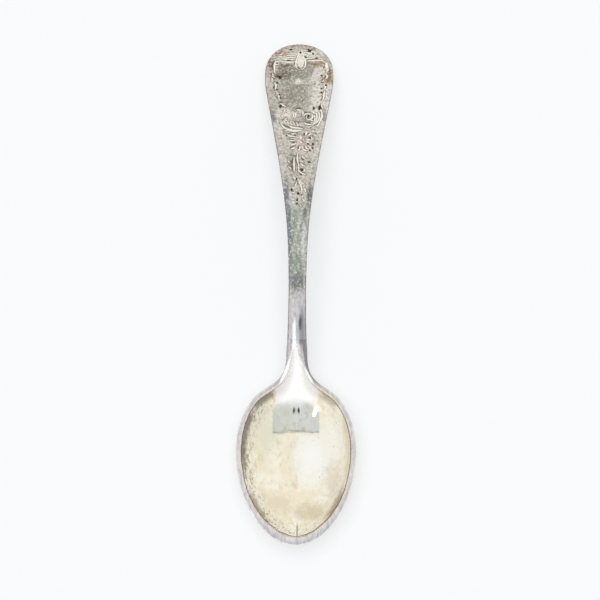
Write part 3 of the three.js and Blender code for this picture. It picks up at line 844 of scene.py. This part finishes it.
def handle():
    shell = Shell()
    split = tongue_and_shank(shell)
    outline, out = end_outline()
    front_row, back_row = edge_rows(shell, split, outline, out)
    cuts = engraving()

    def top_height(q):
        d = distance_to_outline(q, outline)
        return to_frame(q[:, 0], q[:, 1], handle_top(d, q[:, 1]) - cuts.depth(q)[0])

    def back_height(q):
        return to_frame(q[:, 0], q[:, 1], handle_back(distance_to_outline(q, outline), q[:, 1]))

    points, rails = cuts.outlines()
    grid = face_grid(outline, 0.36, 0.35, TOP_ROWS[0] + 0.22)
    grid = grid[cuts.depth(grid)[1] < math.exp(-0.3)]  # none right beside a cut
    first = len(shell.faces)
    loop = face_loop(split[:FACE_ACROSS], front_row, TOP_ROWS[0], outline, out)
    engraved = panel(shell, *loop, np.vstack([np.array(points), grid]), rails, top_height)
    under = FACE_ACROSS + len(TOP_ROWS) + len(BACK_ROWS) - 2
    loop = face_loop(split[under:under + FACE_ACROSS][::-1], back_row, BACK_ROWS[-1], outline, out)
    panel(shell, *loop, face_grid(outline, 0.8, 0.5, BACK_ROWS[-1] + 0.4), [], back_height, up=False)

    obj = shell.build("handle_fine")
    obj.data.set_sharp_from_angle(angle=math.radians(40))
    mark_cuts(obj, cuts, first, first + engraved)
    plan = plan_of(obj)
    inset = plan_half(plan[:, 1]) - np.abs(plan[:, 0])
    paint(obj, "inset", np.where(plan[:, 1] < SPLIT, inset, distance_to_outline(plan, outline)))
    return obj


def paint(obj, name, values, domain="POINT"):
    obj.data.attributes.new(name, "FLOAT", domain).data.foreach_set("value", np.asarray(values, np.float32))


def column(items, name):
    """A three-number property of every vertex or face, as rows."""
    values = np.empty(len(items) * 3)
    items.foreach_get(name, values)
    return values.reshape(-1, 3)


def in_plan(points):
    """Places in the row frame to units across and along the spoon."""
    return np.stack([points[:, 0] / UNIT, (points[:, 1] - CAD_LOW.y) / UNIT], axis=1)


def plan_of(obj):
    return in_plan(column(obj.data.vertices, "co"))


def mark_cuts(obj, cuts, first, last):
    """Face tone of the cuts, painted light and shade on their walls, point mask of their surroundings, and
    crisp edges along them.
    """
    mesh = obj.data
    tone = np.zeros(len(mesh.polygons))
    tone[first:last] = cuts.depth(in_plan(column(mesh.polygons, "center"))[first:last])[2]
    paint(obj, "cut", tone, "FACE")
    plan = plan_of(obj)
    up = np.zeros(len(plan), bool)
    sides = {}
    for poly in mesh.polygons[first:last]:
        up[list(poly.vertices)] = True
        for key in poly.edge_keys:
            sides.setdefault(key, []).append(poly.index)
    paint(obj, "soot", np.where(up, cuts.depth(plan)[1], 0))
    # an edge between faces that differ by more than the crown's curve is a crisp one
    normals = column(mesh.polygons, "normal")
    marks = mesh.attributes.get("sharp_edge") or mesh.attributes.new("sharp_edge", "BOOLEAN", "EDGE")
    sharp = np.zeros(len(mesh.edges), bool)
    marks.data.foreach_get("value", sharp)
    for edge in mesh.edges:
        pair = sides.get(edge.key, ())
        if len(pair) == 2 and normals[pair[0]] @ normals[pair[1]] < math.cos(math.radians(7)):
            sharp[edge.index] = True
    marks.data.foreach_set("value", sharp)


# ---------------------------------------------------------------- the solder
BEAD, SOLDER_GAP = 0.36, 0.02


def solder():
    """The film in the lap and the lumpy bead that ran out round the tongue."""
    shell = Shell()
    tip = TONGUE_TIP - BEAD
    rows = []
    for i in range(61):
        s = tip + (TAB_END - tip) * (1 - math.cos(math.pi / 2 * i / 60))
        u = np.clip((TAB_END - s) / (TAB_END - tip), 0, 1)
        wide = (plan_half(TAB_END) + TONGUE_SWELL * math.sin(math.pi * u)) * math.sqrt(1 - u ** 4) + BEAD
        wide *= 1 if s > TONGUE_TIP + 1 else 0.8
        lapped = s > TONGUE_TIP
        inner = max(0.02, float(tongue_half(s)) - 0.05) if lapped else 0.02
        xs, drops = [], []
        for side, seed in ((-1, 7.0), (1, 14.0)):
            lump = noise.noise(Vector((s * 0.9, seed, 2.0)))
            outer = max(0.05, min(wide + 0.14 * lump, float(plan_half(s)) - 0.08))
            start = min(inner + 0.07, outer - 0.02)
            across = np.linspace(1, 0, 7)
            high = (0.26 + 0.06 * lump) * min(1.0, (outer - start) / 0.25)
            xs.append(side * (start + (outer - start) * across))
            drops.append(0.03 + max(0.0, high) * (1 - across) ** 1.7)
        t = np.linspace(-1, 1, 25)
        film = np.full(len(t), 0.1) if lapped else 0.03 + drops[0][-1] * (1 - 0.5 * t ** 2)
        x = np.concatenate([xs[0], inner * t * 0.98, xs[1][::-1]])
        drop = np.concatenate([drops[0], film, drops[1][::-1]])
        top = under_z(x, s) - SOLDER_GAP
        rows.append(shell.add(np.concatenate([to_frame(x, s, top), to_frame(x, s, top - drop)[::-1]])))
    shell.chain(rows)
    n = len(rows[0]) // 2
    for row, way in ((rows[0], -1), (rows[-1], 1)):
        for i in range(n - 1):
            shell.faces.append((row[i], row[i + 1], row[2 * n - 2 - i], row[2 * n - 1 - i])[::way])
    return shell.build("solder_fine")


# ---------------------------------------------------------------- materials
def rgb(r, g, b):
    """An 8-bit screen colour as linear light."""
    return tuple(((c / 255 + 0.055) / 1.055) ** 2.4 for c in (r, g, b)) + (1.0,)


class Look:
    """One material, with short calls for the nodes it is made of.
    """

    def __init__(self, name):
        self.material = bpy.data.materials.new(name)
        self.material.use_nodes = True
        self.tree = self.material.node_tree
        self.skin = None
        # x across, y the station, z up
        self.place = self.node("ShaderNodeTexCoord", {}, "Object")
        self.place = self.stretched((1 / UNIT,) * 3, (0, -CAD_LOW.y / UNIT, 0))
        # the same, wandering by a unit or so, for anything with an untidy border
        stir = self.node("ShaderNodeTexNoise", {"Vector": self.place, "Scale": 0.45, "Detail": 5.0,
                                                "Roughness": 0.6}, "Color")
        stir = self.vector("MULTIPLY_ADD", stir, (4.5, 4.5, 0), (-2.25, -2.25, 0))
        self.untidy = self.vector("ADD", self.place, stir)

    def join(self, source, target):
        if isinstance(source, (int, float, tuple)):
            target.default_value = source
        else:
            self.tree.links.new(source, target)

    def node(self, kind, inputs, output=0, **settings):
        """The output of a new node, whose inputs are values or other nodes' outputs."""
        made = self.tree.nodes.new(kind)
        for key, value in settings.items():
            setattr(made, key, value)
        for key, value in inputs.items():
            self.join(value, made.inputs[key])
        return made.outputs[output]

    def vector(self, operation, *values, output=0):
        return self.node("ShaderNodeVectorMath", dict(enumerate(values)), output, operation=operation)

    def math(self, operation, *values):
        return self.node("ShaderNodeMath", dict(enumerate(values)), operation=operation)

    def plus(self, a, b):
        return self.math("ADD", a, b)

    def times(self, first, *others):
        for other in others:
            first = self.math("MULTIPLY", first, other)
        return first

    def mapped(self, value, low, high, to_low=0.0, to_high=1.0):
        """Smoothly from to_low at low to to_high at high."""
        return self.node("ShaderNodeMapRange", dict(enumerate((value, low, high, to_low, to_high))),
                         interpolation_type="SMOOTHSTEP")

    def part(self, axis):
        return self.node("ShaderNodeSeparateXYZ", {0: self.place}, axis)

    def facing_up(self, low, high):
        """0 where the skin's normal rises by less than low, 1 where it rises by more than high."""
        normal = self.node("ShaderNodeTexCoord", {}, "Normal")
        return self.mapped(self.node("ShaderNodeSeparateXYZ", {0: normal}, "Z"), low, high)

    def attribute(self, name):
        return self.node("ShaderNodeAttribute", {}, "Fac", attribute_name=name)

    def stretched(self, stretch, shift):
        return self.node("ShaderNodeMapping", {"Vector": self.place, "Scale": stretch, "Location": shift})

    def grain(self, size, detail=4.0, rough=0.6, stretch=(1, 1, 1), seed=0.0):
        """Noise from 0 to 1 with features of about this size."""
        place = self.stretched(stretch, (seed * 7.3, seed * 3.1, seed))
        return self.node("ShaderNodeTexNoise", {"Vector": place, "Scale": 1 / size, "Detail": detail,
                                                "Roughness": rough}, "Fac")

    def patches(self, size, low, high, most=1.0, least=0.0, **grain):
        """least where the grain is under low, most where it is over high."""
        return self.mapped(self.grain(size, **grain), low, high, least, most)

    def wobble(self, amount, size, **grain):
        """Wanders by half the amount to either side of 0."""
        return self.math("MULTIPLY_ADD", self.grain(size, **grain), amount, -amount / 2)

    def cells(self, size, seed):
        """Distance to the nearest of scattered points."""
        place = self.stretched((1, 1, 1), (seed * 5.7, seed * 2.3, seed))
        return self.node("ShaderNodeTexVoronoi", {"Vector": place, "Scale": 1 / size}, "Distance")

    def spot(self, x, s, rx, rs, soft=0.5, ragged=0.6, size=0.9, seed=1.0):
        """A mask: 1 in an ellipse with a ragged edge, 0 outside it."""
        off = self.vector("SUBTRACT", self.untidy if rx > 1.2 else self.place, (x, s, 0))
        far = self.vector("LENGTH", self.vector("MULTIPLY", off, (1 / rx, 1 / rs, 0)), output="Value")
        ragged_far = self.plus(far, self.wobble(2.4 * ragged, size, detail=6, rough=0.7, seed=seed))
        return self.mapped(ragged_far, 1 + soft / 2, 1 - soft / 2)

    def colour(self, base, over, mask):
        """A mix of two, each a screen colour or a node's output."""
        base, over = (rgb(*c) if isinstance(c, tuple) else c for c in (base, over))
        return self.node("ShaderNodeMix", {0: mask, 6: base, 7: over}, 2, data_type="RGBA")

    def over(self, colour, mask):
        self.skin = self.colour(self.skin, colour, mask)

    def bump(self, height, strength, distance, under=None):
        inputs = {"Height": height, "Strength": strength, "Distance": distance * UNIT}
        if under is not None:
            inputs["Normal"] = under
        return self.node("ShaderNodeBump", inputs, "Normal")

    def scratched(self, under, seed, long=(0.08, 1, 1)):
        """Fine hairlines added to a bump."""
        lines = self.patches(1.6, 0.62, 0.67, detail=2, rough=0.5, stretch=long, seed=seed)
        return self.bump(lines, 0.2, 0.01, under)

    def finish(self, roughness, normal, metallic=1.0):
        shader = self.tree.nodes["Principled BSDF"]
        for key, value in (("Base Color", self.skin), ("Roughness", roughness), ("Normal", normal),
                           ("Metallic", metallic)):
            self.join(value, shader.inputs[key])
        return self.material


def silver_skin(m):
    """What the handle and the bowl share: the neck, with a painted highlight in a wedge and painted shade
    along its sides.

    Returns how metallic the skin is: the wedge of painted highlight is white and matt.
    """
    s, x, inset = m.part("Y"), m.part("X"), m.attribute("inset")
    fine = m.patches(0.7, 0.35, 0.7, stretch=(1, 0.25, 1), seed=11)
    m.over(m.colour((236, 229, 223), (206, 200, 194), fine), m.mapped(s, 68.5, 64.0))
    slope = m.times(m.mapped(s, 57.0, 52.0, 0, 0.5), m.mapped(s, 39.0, 43.0))
    m.over((214, 207, 202), slope)  # where it slopes to the light
    # painted shade: the right half of the neck greyer, with a darker smudge in it
    m.over((172, 167, 167), m.spot(1.3, 56.6, 0.8, 5.4, 1.0, 0.4, 0.8, seed=2))
    m.over((112, 109, 112), m.spot(0.85, 58.3, 0.42, 1.6, 1.2, 0.4, 0.8, seed=5))
    # painted shade: a dark line just inside the right edge, a duller one inside the left
    off = m.plus(inset, m.wobble(0.5, 0.9, stretch=(1, 0.4, 1), seed=17))
    line = m.mapped(m.math("SUBTRACT", off, m.mapped(s, 45.0, 52.0, 0.45, 1.0)), 0.2, -0.15)
    line = m.times(line, m.mapped(s, 41.0, 44.0), m.mapped(s, 63.0, 58.0))
    m.over((144, 136, 134), m.times(line, m.mapped(x, 0.3, 0.9, 0, 0.85)))
    m.over((186, 177, 178), m.times(line, m.mapped(x, -0.3, -0.9, 0, 0.8)))
    # the painted highlight: a white wedge that widens from a point left of centre until it fills the groove
    x = m.plus(x, m.wobble(0.44, 0.9, detail=3, stretch=(1, 0.3, 1), seed=13))
    from_left = m.math("SUBTRACT", x, m.mapped(s, 40.0, 53.0, -5.2, -1.25))
    from_right = m.math("SUBTRACT", m.mapped(s, 39.0, 54.0, 5.6, -0.2), x)
    highlight_wedge = m.times(m.mapped(from_left, -0.1, 0.35), m.mapped(from_right, -0.1, 0.4),
                    m.mapped(s, 60.5, 57.0), m.mapped(s, 37.0, 40.0), m.facing_up(0.15, 0.5))
    m.over((254, 254, 254), highlight_wedge)
    return m.mapped(highlight_wedge, 0.0, 1.0, 1.0, 0.12)


def handle_silver():
    m = Look("tarnished_silver")
    s, x, inset = m.part("Y"), m.part("X"), m.attribute("inset")
    m.skin = m.colour((196, 192, 181), (218, 212, 203), m.patches(5.5, 0.36, 0.64, rough=0.62, seed=1))
    m.over((162, 156, 142), m.patches(1.3, 0.5, 0.72, 0.75, detail=5, rough=0.66, seed=2))
    streaky = m.patches(0.8, 0.38, 0.66, rough=0.62, stretch=(1, 0.3, 1), seed=7)
    stem = m.times(m.mapped(s, 93.0, 87.0), m.mapped(s, 66.0, 71.0))
    m.over(m.colour((152, 161, 148), (200, 204, 193), streaky), stem)
    for across, at, rx, rs, soft, ragged, shade in (
            (5.2, 122.0, 2.3, 8.0, 1.1, 0.6, (236, 230, 219)),  # rubbed, right
            (-1.5, 123.6, 4.4, 5.5, 1.1, 0.8, (158, 155, 141)),  # olive tarnish in the cartouche
            (-3.6, 130.6, 3.4, 2.9, 0.7, 0.7, (137, 127, 112)),
            (0.2, 130.0, 2.6, 2.0, 0.9, 0.8, (156, 151, 139)),
            (-3.4, 133.0, 2.4, 0.7, 0.6, 0.6, (118, 107, 90)),
            (3.6, 133.3, 2.6, 0.9, 0.7, 0.7, (146, 128, 98)),
            (2.6, 131.0, 1.3, 1.6, 0.9, 0.8, (172, 164, 150)),
            (-3.9, 129.3, 1.3, 1.3, 0.9, 0.8, (124, 116, 98)),
            (-0.3, 127.4, 1.7, 0.9, 0.9, 0.8, (236, 234, 220)),
            (-2.0, 135.8, 3.2, 2.0, 0.8, 0.6, (250, 240, 219)),  # worn palmette
            (0.1, 133.2, 1.25, 2.0, 0.6, 0.5, (234, 226, 206)),
            (3.0, 135.9, 2.6, 1.3, 0.8, 0.7, (250, 240, 220)),
            (7.2, 132.0, 0.9, 2.0, 0.8, 0.6, (236, 226, 190)),
            (-6.7, 131.8, 0.6, 1.8, 0.8, 0.6, (220, 200, 178)),
            (-4.9, 136.6, 2.0, 1.0, 0.9, 0.8, (190, 166, 142)),  # brown between its strokes
            (5.4, 134.0, 1.4, 0.8, 0.9, 0.8, (172, 142, 116)),
            # painted reflection: a pale band on the bevel at the top right
            (6.3, 137.0, 2.0, 1.1, 0.9, 0.6, (224, 220, 214)),
            (8.4, 121.5, 1.5, 4.4, 0.8, 0.4, (228, 227, 224)),
            (7.6, 128.4, 1.3, 1.6, 0.8, 0.7, (162, 132, 98)),  # rust-coloured
            (8.4, 130.0, 0.7, 2.2, 0.8, 0.6, (148, 124, 96)),
            (-7.8, 133.0, 1.0, 1.8, 0.7, 0.6, (106, 100, 94)),
            (-6.9, 129.0, 1.2, 1.0, 0.9, 0.8, (130, 118, 100)),
            (-6.9, 116.5, 0.9, 2.4, 0.8, 0.5, (146, 140, 138)),
            (-3.9, 117.0, 2.2, 1.6, 0.9, 0.6, (236, 224, 210)),
            (1.9, 115.6, 1.4, 1.2, 0.9, 0.6, (156, 156, 152)),
            (4.6, 117.2, 1.6, 1.6, 0.9, 0.7, (234, 228, 216)),
            (6.9, 116.8, 0.5, 2.2, 0.8, 0.6, (166, 160, 154)),
            (1.0, 107.4, 2.2, 1.8, 1.0, 0.8, (220, 204, 194)),
            (-1.6, 102.2, 0.9, 3.2, 0.8, 0.6, (146, 141, 130)),
            # the stem's edges, dark lines and a paler strip: partly tarnish, partly painted light and shade
            (-3.2, 93.0, 0.7, 5.0, 0.8, 0.5, (132, 134, 146)),
            (3.1, 92.0, 0.75, 3.9, 0.7, 0.5, (110, 110, 116)),
            (-2.35, 81.0, 0.55, 8.5, 0.8, 0.5, (108, 122, 130)),
            (1.9, 87.0, 0.6, 2.6, 0.8, 0.7, (128, 132, 130)),
            (1.7, 79.0, 0.7, 5.6, 0.9, 0.6, (220, 223, 217)),
            (0.4, 68.4, 2.8, 2.6, 1.0, 0.9, (138, 138, 136))):
        m.over(shade, m.spot(across, at, rx, rs, 1.25 * soft, ragged, 1.1, seed=across + at))
    metallic = silver_skin(m)
    # a duller band along the bevels, dark at the very edge: partly tarnish, partly painted shade
    side = m.colour((128, 140, 148), (186, 185, 182), m.mapped(x, -0.5, 0.5))
    side = m.colour(side, (196, 188, 187), m.mapped(s, 70.0, 66.0))
    m.over(side, m.times(m.mapped(inset, 1.0, 0.7), m.mapped(s, 95.0, 86.0, 0, 0.7)))
    ragged_inset = m.plus(inset, m.wobble(0.55, 1.5, seed=21))
    m.over((120, 114, 114), m.mapped(ragged_inset, 0.32, 0.08, 0, 0.8))
    # brown at the top rim
    rim = m.times(m.mapped(ragged_inset, 1.5, 0.7), m.mapped(s, 129.0, 135.0), m.mapped(x, 5.5, 3.5))
    m.over((164, 134, 118), m.times(rim, m.patches(1.0, 0.35, 0.6, seed=22)))
    # mottling and speckle on the face
    face = m.mapped(s, 61.0, 68.0)
    for size, seed, low, high, most, shade in (
            (0.8, 27, 0.48, 0.64, 0.6, (132, 122, 106)), (0.7, 29, 0.5, 0.66, 0.65, (244, 238, 228)),
            (0.34, 31, 0.56, 0.67, 0.6, (108, 98, 84)), (0.4, 33, 0.58, 0.69, 0.6, (250, 245, 236))):
        m.over(shade, m.times(m.patches(size, low, high, most, rough=0.7, seed=seed), face))
    # dirt beside the cuts, less of it in the palmette and the rosette, then the cuts' walls: painted light on
    # those that face the light, painted shade on the others, and dirt in the gouges
    rosette = m.spot(-3.9, 117.2, 2.0, 1.6)
    spared = m.times(m.mapped(s, 133.4, 134.6, 0.92, 0.3), m.mapped(rosette, 0, 1, 1, 0.5))
    soot = m.times(m.mapped(m.attribute("soot"), 0.35, 0.95), m.patches(0.9, 0.35, 0.6, seed=35), spared)
    m.over((112, 99, 82), soot)
    cut = m.attribute("cut")
    shine = m.patches(0.8, 0.25, 0.5, 1.0, 0.6, detail=3, seed=37)
    m.over((252, 246, 236), m.times(m.math("MAXIMUM", cut, 0.0), shine))
    m.over((84, 74, 62), m.times(m.math("MAXIMUM", m.times(cut, -1.0), 0.0), 0.9))
    rough = m.patches(1.6, 0.3, 0.7, 0.5, 0.3, detail=5, rough=0.65, seed=5)
    rough = m.math("SUBTRACT", rough, m.mapped(s, 66.0, 58.0, 0, 0.12))
    return m.finish(rough, m.scratched(m.bump(m.grain(0.5, seed=41), 0.25, 0.02), 43), metallic)


def bowl_silver():
    m = Look("bowl_silver")
    m.skin = m.colour((236, 228, 218), (212, 202, 193), m.patches(2.6, 0.42, 0.66, seed=3))
    # painted shade: the rim darker towards the right, away from the light
    m.over((200, 190, 179), m.mapped(m.part("X"), 4.0, 15.0, 0, 0.85))
    m.over((168, 156, 148), m.patches(0.9, 0.5, 0.68, 0.45, seed=4))
    inner = m.plus(m.attribute("inner"), m.wobble(0.5, 1.2, seed=8))
    m.over((156, 142, 128), m.mapped(inner, 0.62, 0.95, 0, 0.8))
    m.over((216, 212, 212), m.mapped(inner, 0.3, 0.02, 0, 0.4))
    # the rim greyer at the tip and along the sides, darkest on the right as painted shade
    for x, s, rx, rs, shade in (
            (0.0, 0.0, 14.0, 6.0, (194, 184, 174)), (14.0, 14.0, 5.0, 12.0, (196, 187, 177)),
            (-12.0, 8.0, 4.0, 7.0, (210, 201, 193))):
        m.over(shade, m.spot(x, s, rx, rs, 0.9, 0.4, 1.5, seed=rs))
    metallic = silver_skin(m)
    rough = m.patches(1.2, 0.3, 0.7, 0.4, 0.2, detail=5, rough=0.65, seed=5)
    grained = m.bump(m.grain(0.6, seed=41), 0.2, 0.02)
    return m.finish(rough, m.scratched(grained, 45, (1, 0.12, 1)), metallic)


def gold_wash():
    m = Look("gold_wash")
    broad = m.patches(5.0, 0.38, 0.62, detail=5, rough=0.62, stretch=(1, 0.7, 1), seed=3)
    m.skin = m.colour((252, 247, 229), (244, 234, 208), broad)
    streaky = m.patches(2.2, 0.5, 0.68, 0.7, detail=5, rough=0.66, stretch=(1, 0.55, 1), seed=4)
    m.over((222, 207, 176), streaky)
    for x, s, rx, rs, soft, ragged, shade in (
            (4.6, 24.0, 4.4, 6.0, 1.6, 0.7, (253, 252, 247)),
            (9.5, 28.0, 3.2, 6.0, 1.4, 0.8, (248, 245, 231)),
            (-8.5, 31.0, 3.4, 6.0, 1.5, 0.9, (232, 228, 206)),
            (4.5, 9.0, 4.4, 2.4, 1.5, 1.1, (222, 208, 180)),
            (-4.5, 11.5, 3.4, 2.6, 1.5, 1.1, (234, 222, 194)),
            (9.6, 17.0, 2.0, 5.0, 1.4, 1.0, (232, 223, 204))):
        m.over(shade, m.spot(x, s, rx, rs, soft, ragged, 1.8, seed=x + s))
    # ragged_edge is how far a place is from the gilding's border, untidily
    edge = m.attribute("edge")
    wobble = m.wobble(1.6, 1.6, detail=5, rough=0.65, seed=9)
    ragged_edge = m.plus(edge, wobble)
    m.over((250, 245, 233), m.mapped(edge, 3.8, 0.8, 0, 0.6))  # paler up the wall
    grime = m.patches(0.7, 0.5, 0.6, 0.85, detail=5, rough=0.7, stretch=(1, 0.6, 1), seed=15)
    grime = m.times(grime, m.mapped(ragged_edge, 4.6, 1.2), m.mapped(m.part("X"), 8.0, -9.0, 0.25, 0.9))
    m.over((136, 124, 98), grime)
    near = m.mapped(ragged_edge, 2.1, 0.7)
    for x, s, rx, rs, shade in (
            (-13.6, 28.5, 3.0, 9.5, (134, 121, 104)), (-10.2, 8.5, 3.2, 5.5, (176, 158, 136)),
            (10.4, 10.5, 3.0, 6.0, (172, 154, 130)), (-9.5, 39.5, 3.6, 3.6, (142, 135, 116)),
            (9.6, 39.5, 3.4, 3.4, (196, 186, 176)), (13.6, 26.0, 2.0, 9.0, (226, 214, 190))):
        m.over(shade, m.times(near, m.spot(x, s, rx, rs, 0.8, 0.5, 1.6, seed=s), 0.9))
    m.over((176, 160, 136), m.mapped(edge, 0.5, 0.1, 0, 0.6))
    m.over((150, 138, 112), m.spot(0.45, 3.9, 0.16, 2.3, 0.8, 0.3, 0.8, seed=6))  # a painted reflection: the handle's dark reflection in the hollow, as a thin line
    m.over((168, 146, 112), m.patches(0.35, 0.66, 0.76, 0.75, detail=3, rough=0.7, seed=23))
    pit = m.cells(2.6, 2)
    m.over((150, 124, 92), m.times(m.mapped(pit, 0.07, 0.045), m.mapped(pit, 0.02, 0.035), 0.8))
    # it thins to bare, matt silver towards the neck, and the bare heel is painted white as a highlight
    along = m.plus(m.part("Y"), m.times(wobble, 0.6))
    off = m.plus(m.math("ABSOLUTE", m.part("X")), wobble)
    heel = m.times(m.mapped(along, 36.6, 40.4), m.mapped(off, 6.4, 5.0))
    bare_heel_highlight = m.math("MAXIMUM", heel, m.mapped(along, 42.4, 43.6))
    # painted highlight: the bare heel white
    m.over((254, 253, 252), bare_heel_highlight)
    rough = m.patches(1.4, 0.3, 0.7, 0.07, 0.035, detail=5, rough=0.65, seed=5)
    rough = m.plus(rough, m.mapped(ragged_edge, 5.0, 2.4, 0, 0.35))
    metallic = m.times(m.mapped(ragged_edge, 5.0, 1.8, 1.0, 0.4), m.mapped(bare_heel_highlight, 0.0, 1.0, 1.0, 0.25))
    return m.finish(rough, m.scratched(m.bump(m.grain(1.5, detail=5, seed=47), 0.12, 0.02), 49), metallic)


def silver_solder():
    m = Look("silver_solder")
    dull = m.patches(0.9, 0.4, 0.68, detail=5, rough=0.65, seed=3)
    m.skin = m.colour((172, 168, 162), (112, 104, 98), dull)
    m.over((74, 66, 60), m.patches(0.3, 0.6, 0.72, 0.8, detail=3, seed=6))
    rough = m.patches(0.5, 0.3, 0.7, 0.65, 0.4, detail=3, rough=0.5, seed=4)
    return m.finish(rough, m.bump(m.grain(0.35, seed=4), 0.6, 0.03))


# ---------------------------------------------------------------- camera, light and floor
LENS_HEIGHT = 0.496  # the cards about the camera's lens, over the table, in metres like all of the studio
TENT_HALF, TENT_TALL = 1.6, 1.4
TENT_WHITE = (0.985, 0.992, 1.0)


def camera():
    data = bpy.data.cameras.new("camera")
    data.lens, data.sensor_width = 111.9, 36.0
    data.clip_start, data.clip_end = 0.01, 20
    obj = put(data, "camera")
    tilt, roll, distance = math.radians(78), math.radians(0.47), 0.5
    away = Vector((0, -math.cos(tilt), math.sin(tilt))) * distance
    obj.location = Vector((0.00073, -0.0044, 0.007)) + away
    obj.rotation_mode = "QUATERNION"
    obj.rotation_quaternion = (-away).to_track_quat("-Z", "Y") @ Quaternion((0, 0, 1), roll)
    bpy.context.scene.camera = obj


def sheet(name, corners):
    """A single flat face, and its new material."""
    mesh = bpy.data.meshes.new(name)
    mesh.from_pydata(corners, [], [tuple(range(len(corners)))])
    material = bpy.data.materials.new(name)
    material.use_nodes = True
    mesh.materials.append(material)
    return put(mesh, name), material


def card(name, corners, strength, tint=(1, 1, 1)):
    """A glowing sheet that only reflections see."""
    obj, material = sheet(name, corners)
    nodes = material.node_tree.nodes
    nodes.clear()
    glow = nodes.new("ShaderNodeEmission")
    glow.inputs["Color"].default_value = (*tint, 1)
    glow.inputs["Strength"].default_value = strength
    out = nodes.new("ShaderNodeOutputMaterial")
    material.node_tree.links.new(glow.outputs[0], out.inputs[0])
    obj.visible_camera = obj.visible_diffuse = obj.visible_shadow = False
    obj.visible_transmission = obj.visible_volume_scatter = False


def flat(name, outline, strength, tint=(1, 1, 1), drop=0.0):
    """A level card at the lens's height, or this much under it."""
    card(name, [(x, y, LENS_HEIGHT - drop) for x, y in outline], strength, tint)


def daylight():
    """An even fill, a soft lamp overhead, and the white tent that the metal reflects."""
    bpy.context.scene.view_settings.view_transform = "Standard"
    world = bpy.data.worlds.new("fill")
    bpy.context.scene.world = world
    world.use_nodes = True
    back = world.node_tree.nodes["Background"]
    back.inputs["Color"].default_value = (0.98, 0.99, 1.0, 1)
    back.inputs["Strength"].default_value = 0.42

    lamp = bpy.data.lights.new("overhead", "SUN")
    lamp.angle, lamp.energy = math.radians(56), 1.95
    lamp.color = (0.985, 0.993, 1.0)
    obj = put(lamp, "overhead")
    obj.rotation_euler = Vector((-0.08, 0.02, 1)).to_track_quat("Z", "Y").to_euler()
    obj.visible_glossy = False

    h, top = TENT_HALF, TENT_TALL
    floor_plan = [(-h, -h), (h, -h), (h, h), (-h, h)]
    for i, (a, b) in enumerate(zip(floor_plan, floor_plan[1:] + floor_plan[:1])):
        card(f"tent_side_{i}", [(*a, 0.0), (*b, 0.0), (*b, top), (*a, top)], 0.96, TENT_WHITE)
    card("tent_top", [(*p, top) for p in floor_plan], 0.96, TENT_WHITE)


def reflections():
    """What shows in the bowl: a grey card about the lens, a bright panel in front, a strip of window."""
    # the grey card's arms run out past both sides of the front panel
    left_arm = [(-0.36, 0.004), (-0.42, -0.056), (-0.53, -0.17), (-0.65, -0.27), (-0.85, -0.44), (-1.5, -0.9)]
    right_arm = [(0.37, 0.007), (0.437, -0.054), (0.55, -0.173), (0.68, -0.275), (0.9, -0.446), (1.55, -0.95)]
    inner = [(1.25, -1.15), (0.7, -0.66), (0.36, -0.42), (0.2, -0.335), (0.02, -0.275),
             (-0.07, -0.281), (-0.2, -0.335), (-0.36, -0.42), (-0.7, -0.66), (-1.25, -1.1)]
    flat("lens_card", right_arm + inner + left_arm[::-1] + [(0.0, 0.026)], 0.78, (0.87, 0.95, 1.08))
    far = [left_arm[0], (-0.19, 0.02), (0.0, 0.026), (0.2, 0.022), right_arm[0]]
    flat("lens_card_edge", far + [(x, y - 0.007) for x, y in far[::-1]], 0.42, (0.9, 0.95, 1.0), 0.001)
    flat("front_panel", inner[1:-1] + [(-0.6, -1.4), (0.6, -1.4)], 1.25, drop=0.004)
    # the window strip high on the left, and its foot on the wall, make the white streak
    flat("gleam", [(-0.25, -0.1), (-0.34, -0.12), (-0.48, -0.21), (-0.78, -0.38), (-1.55, -0.91),
                   (-1.55, -1.14), (-0.72, -0.48), (-0.44, -0.26), (-0.3, -0.15)], 2.0, drop=0.002)
    foot = [(-0.9, 0.0), (-1.3, 0.0), (-1.3, 0.47), (-0.9, 0.47)]
    card("gleam_foot", [(-1.55, y, z) for y, z in foot], 2.0)
    turn = [i / 8 * math.pi for i in range(16)]
    for side, wide in ((-1, 0.009), (1, 0.0105)):  # the lens's dark ring shows as two strokes
        oval = [(side * 0.0135 + wide * math.cos(a), -0.119 + 0.03 * math.sin(a)) for a in turn]
        flat(f"lens_{side}", oval, 0.06, (0.8, 0.9, 1.0), 0.003)


def ground():
    """The white table, which glows a little so that the shadow on it stays faint."""
    floor, white = sheet("floor", [(-3, -3, 0), (3, -3, 0), (3, 3, 0), (-3, 3, 0)])
    shader = white.node_tree.nodes["Principled BSDF"]
    for key, value in (("Base Color", (0.4, 0.402, 0.404, 1)), ("Emission Color", (0.985, 0.992, 1.0, 1)),
                       ("Emission Strength", 0.545), ("Roughness", 0.9), ("Specular IOR Level", 0.1)):
        shader.inputs[key].default_value = value
    white.cycles.emission_sampling = "NONE"


# ---------------------------------------------------------------- the spoon
def place(obj, node, slot, material):
    obj.data.materials.append(material)
    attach(obj, "root")
    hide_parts(node)


place(bowl(), "bowl", "bowl_silver", bowl_silver())
place(gilding(), "gilt_lining", "gold_wash", gold_wash())
place(solder(), "solder_joint", "silver_solder", silver_solder())
place(handle(), "handle", "handle_silver", handle_silver())
daylight()
reflections()
ground()
camera()
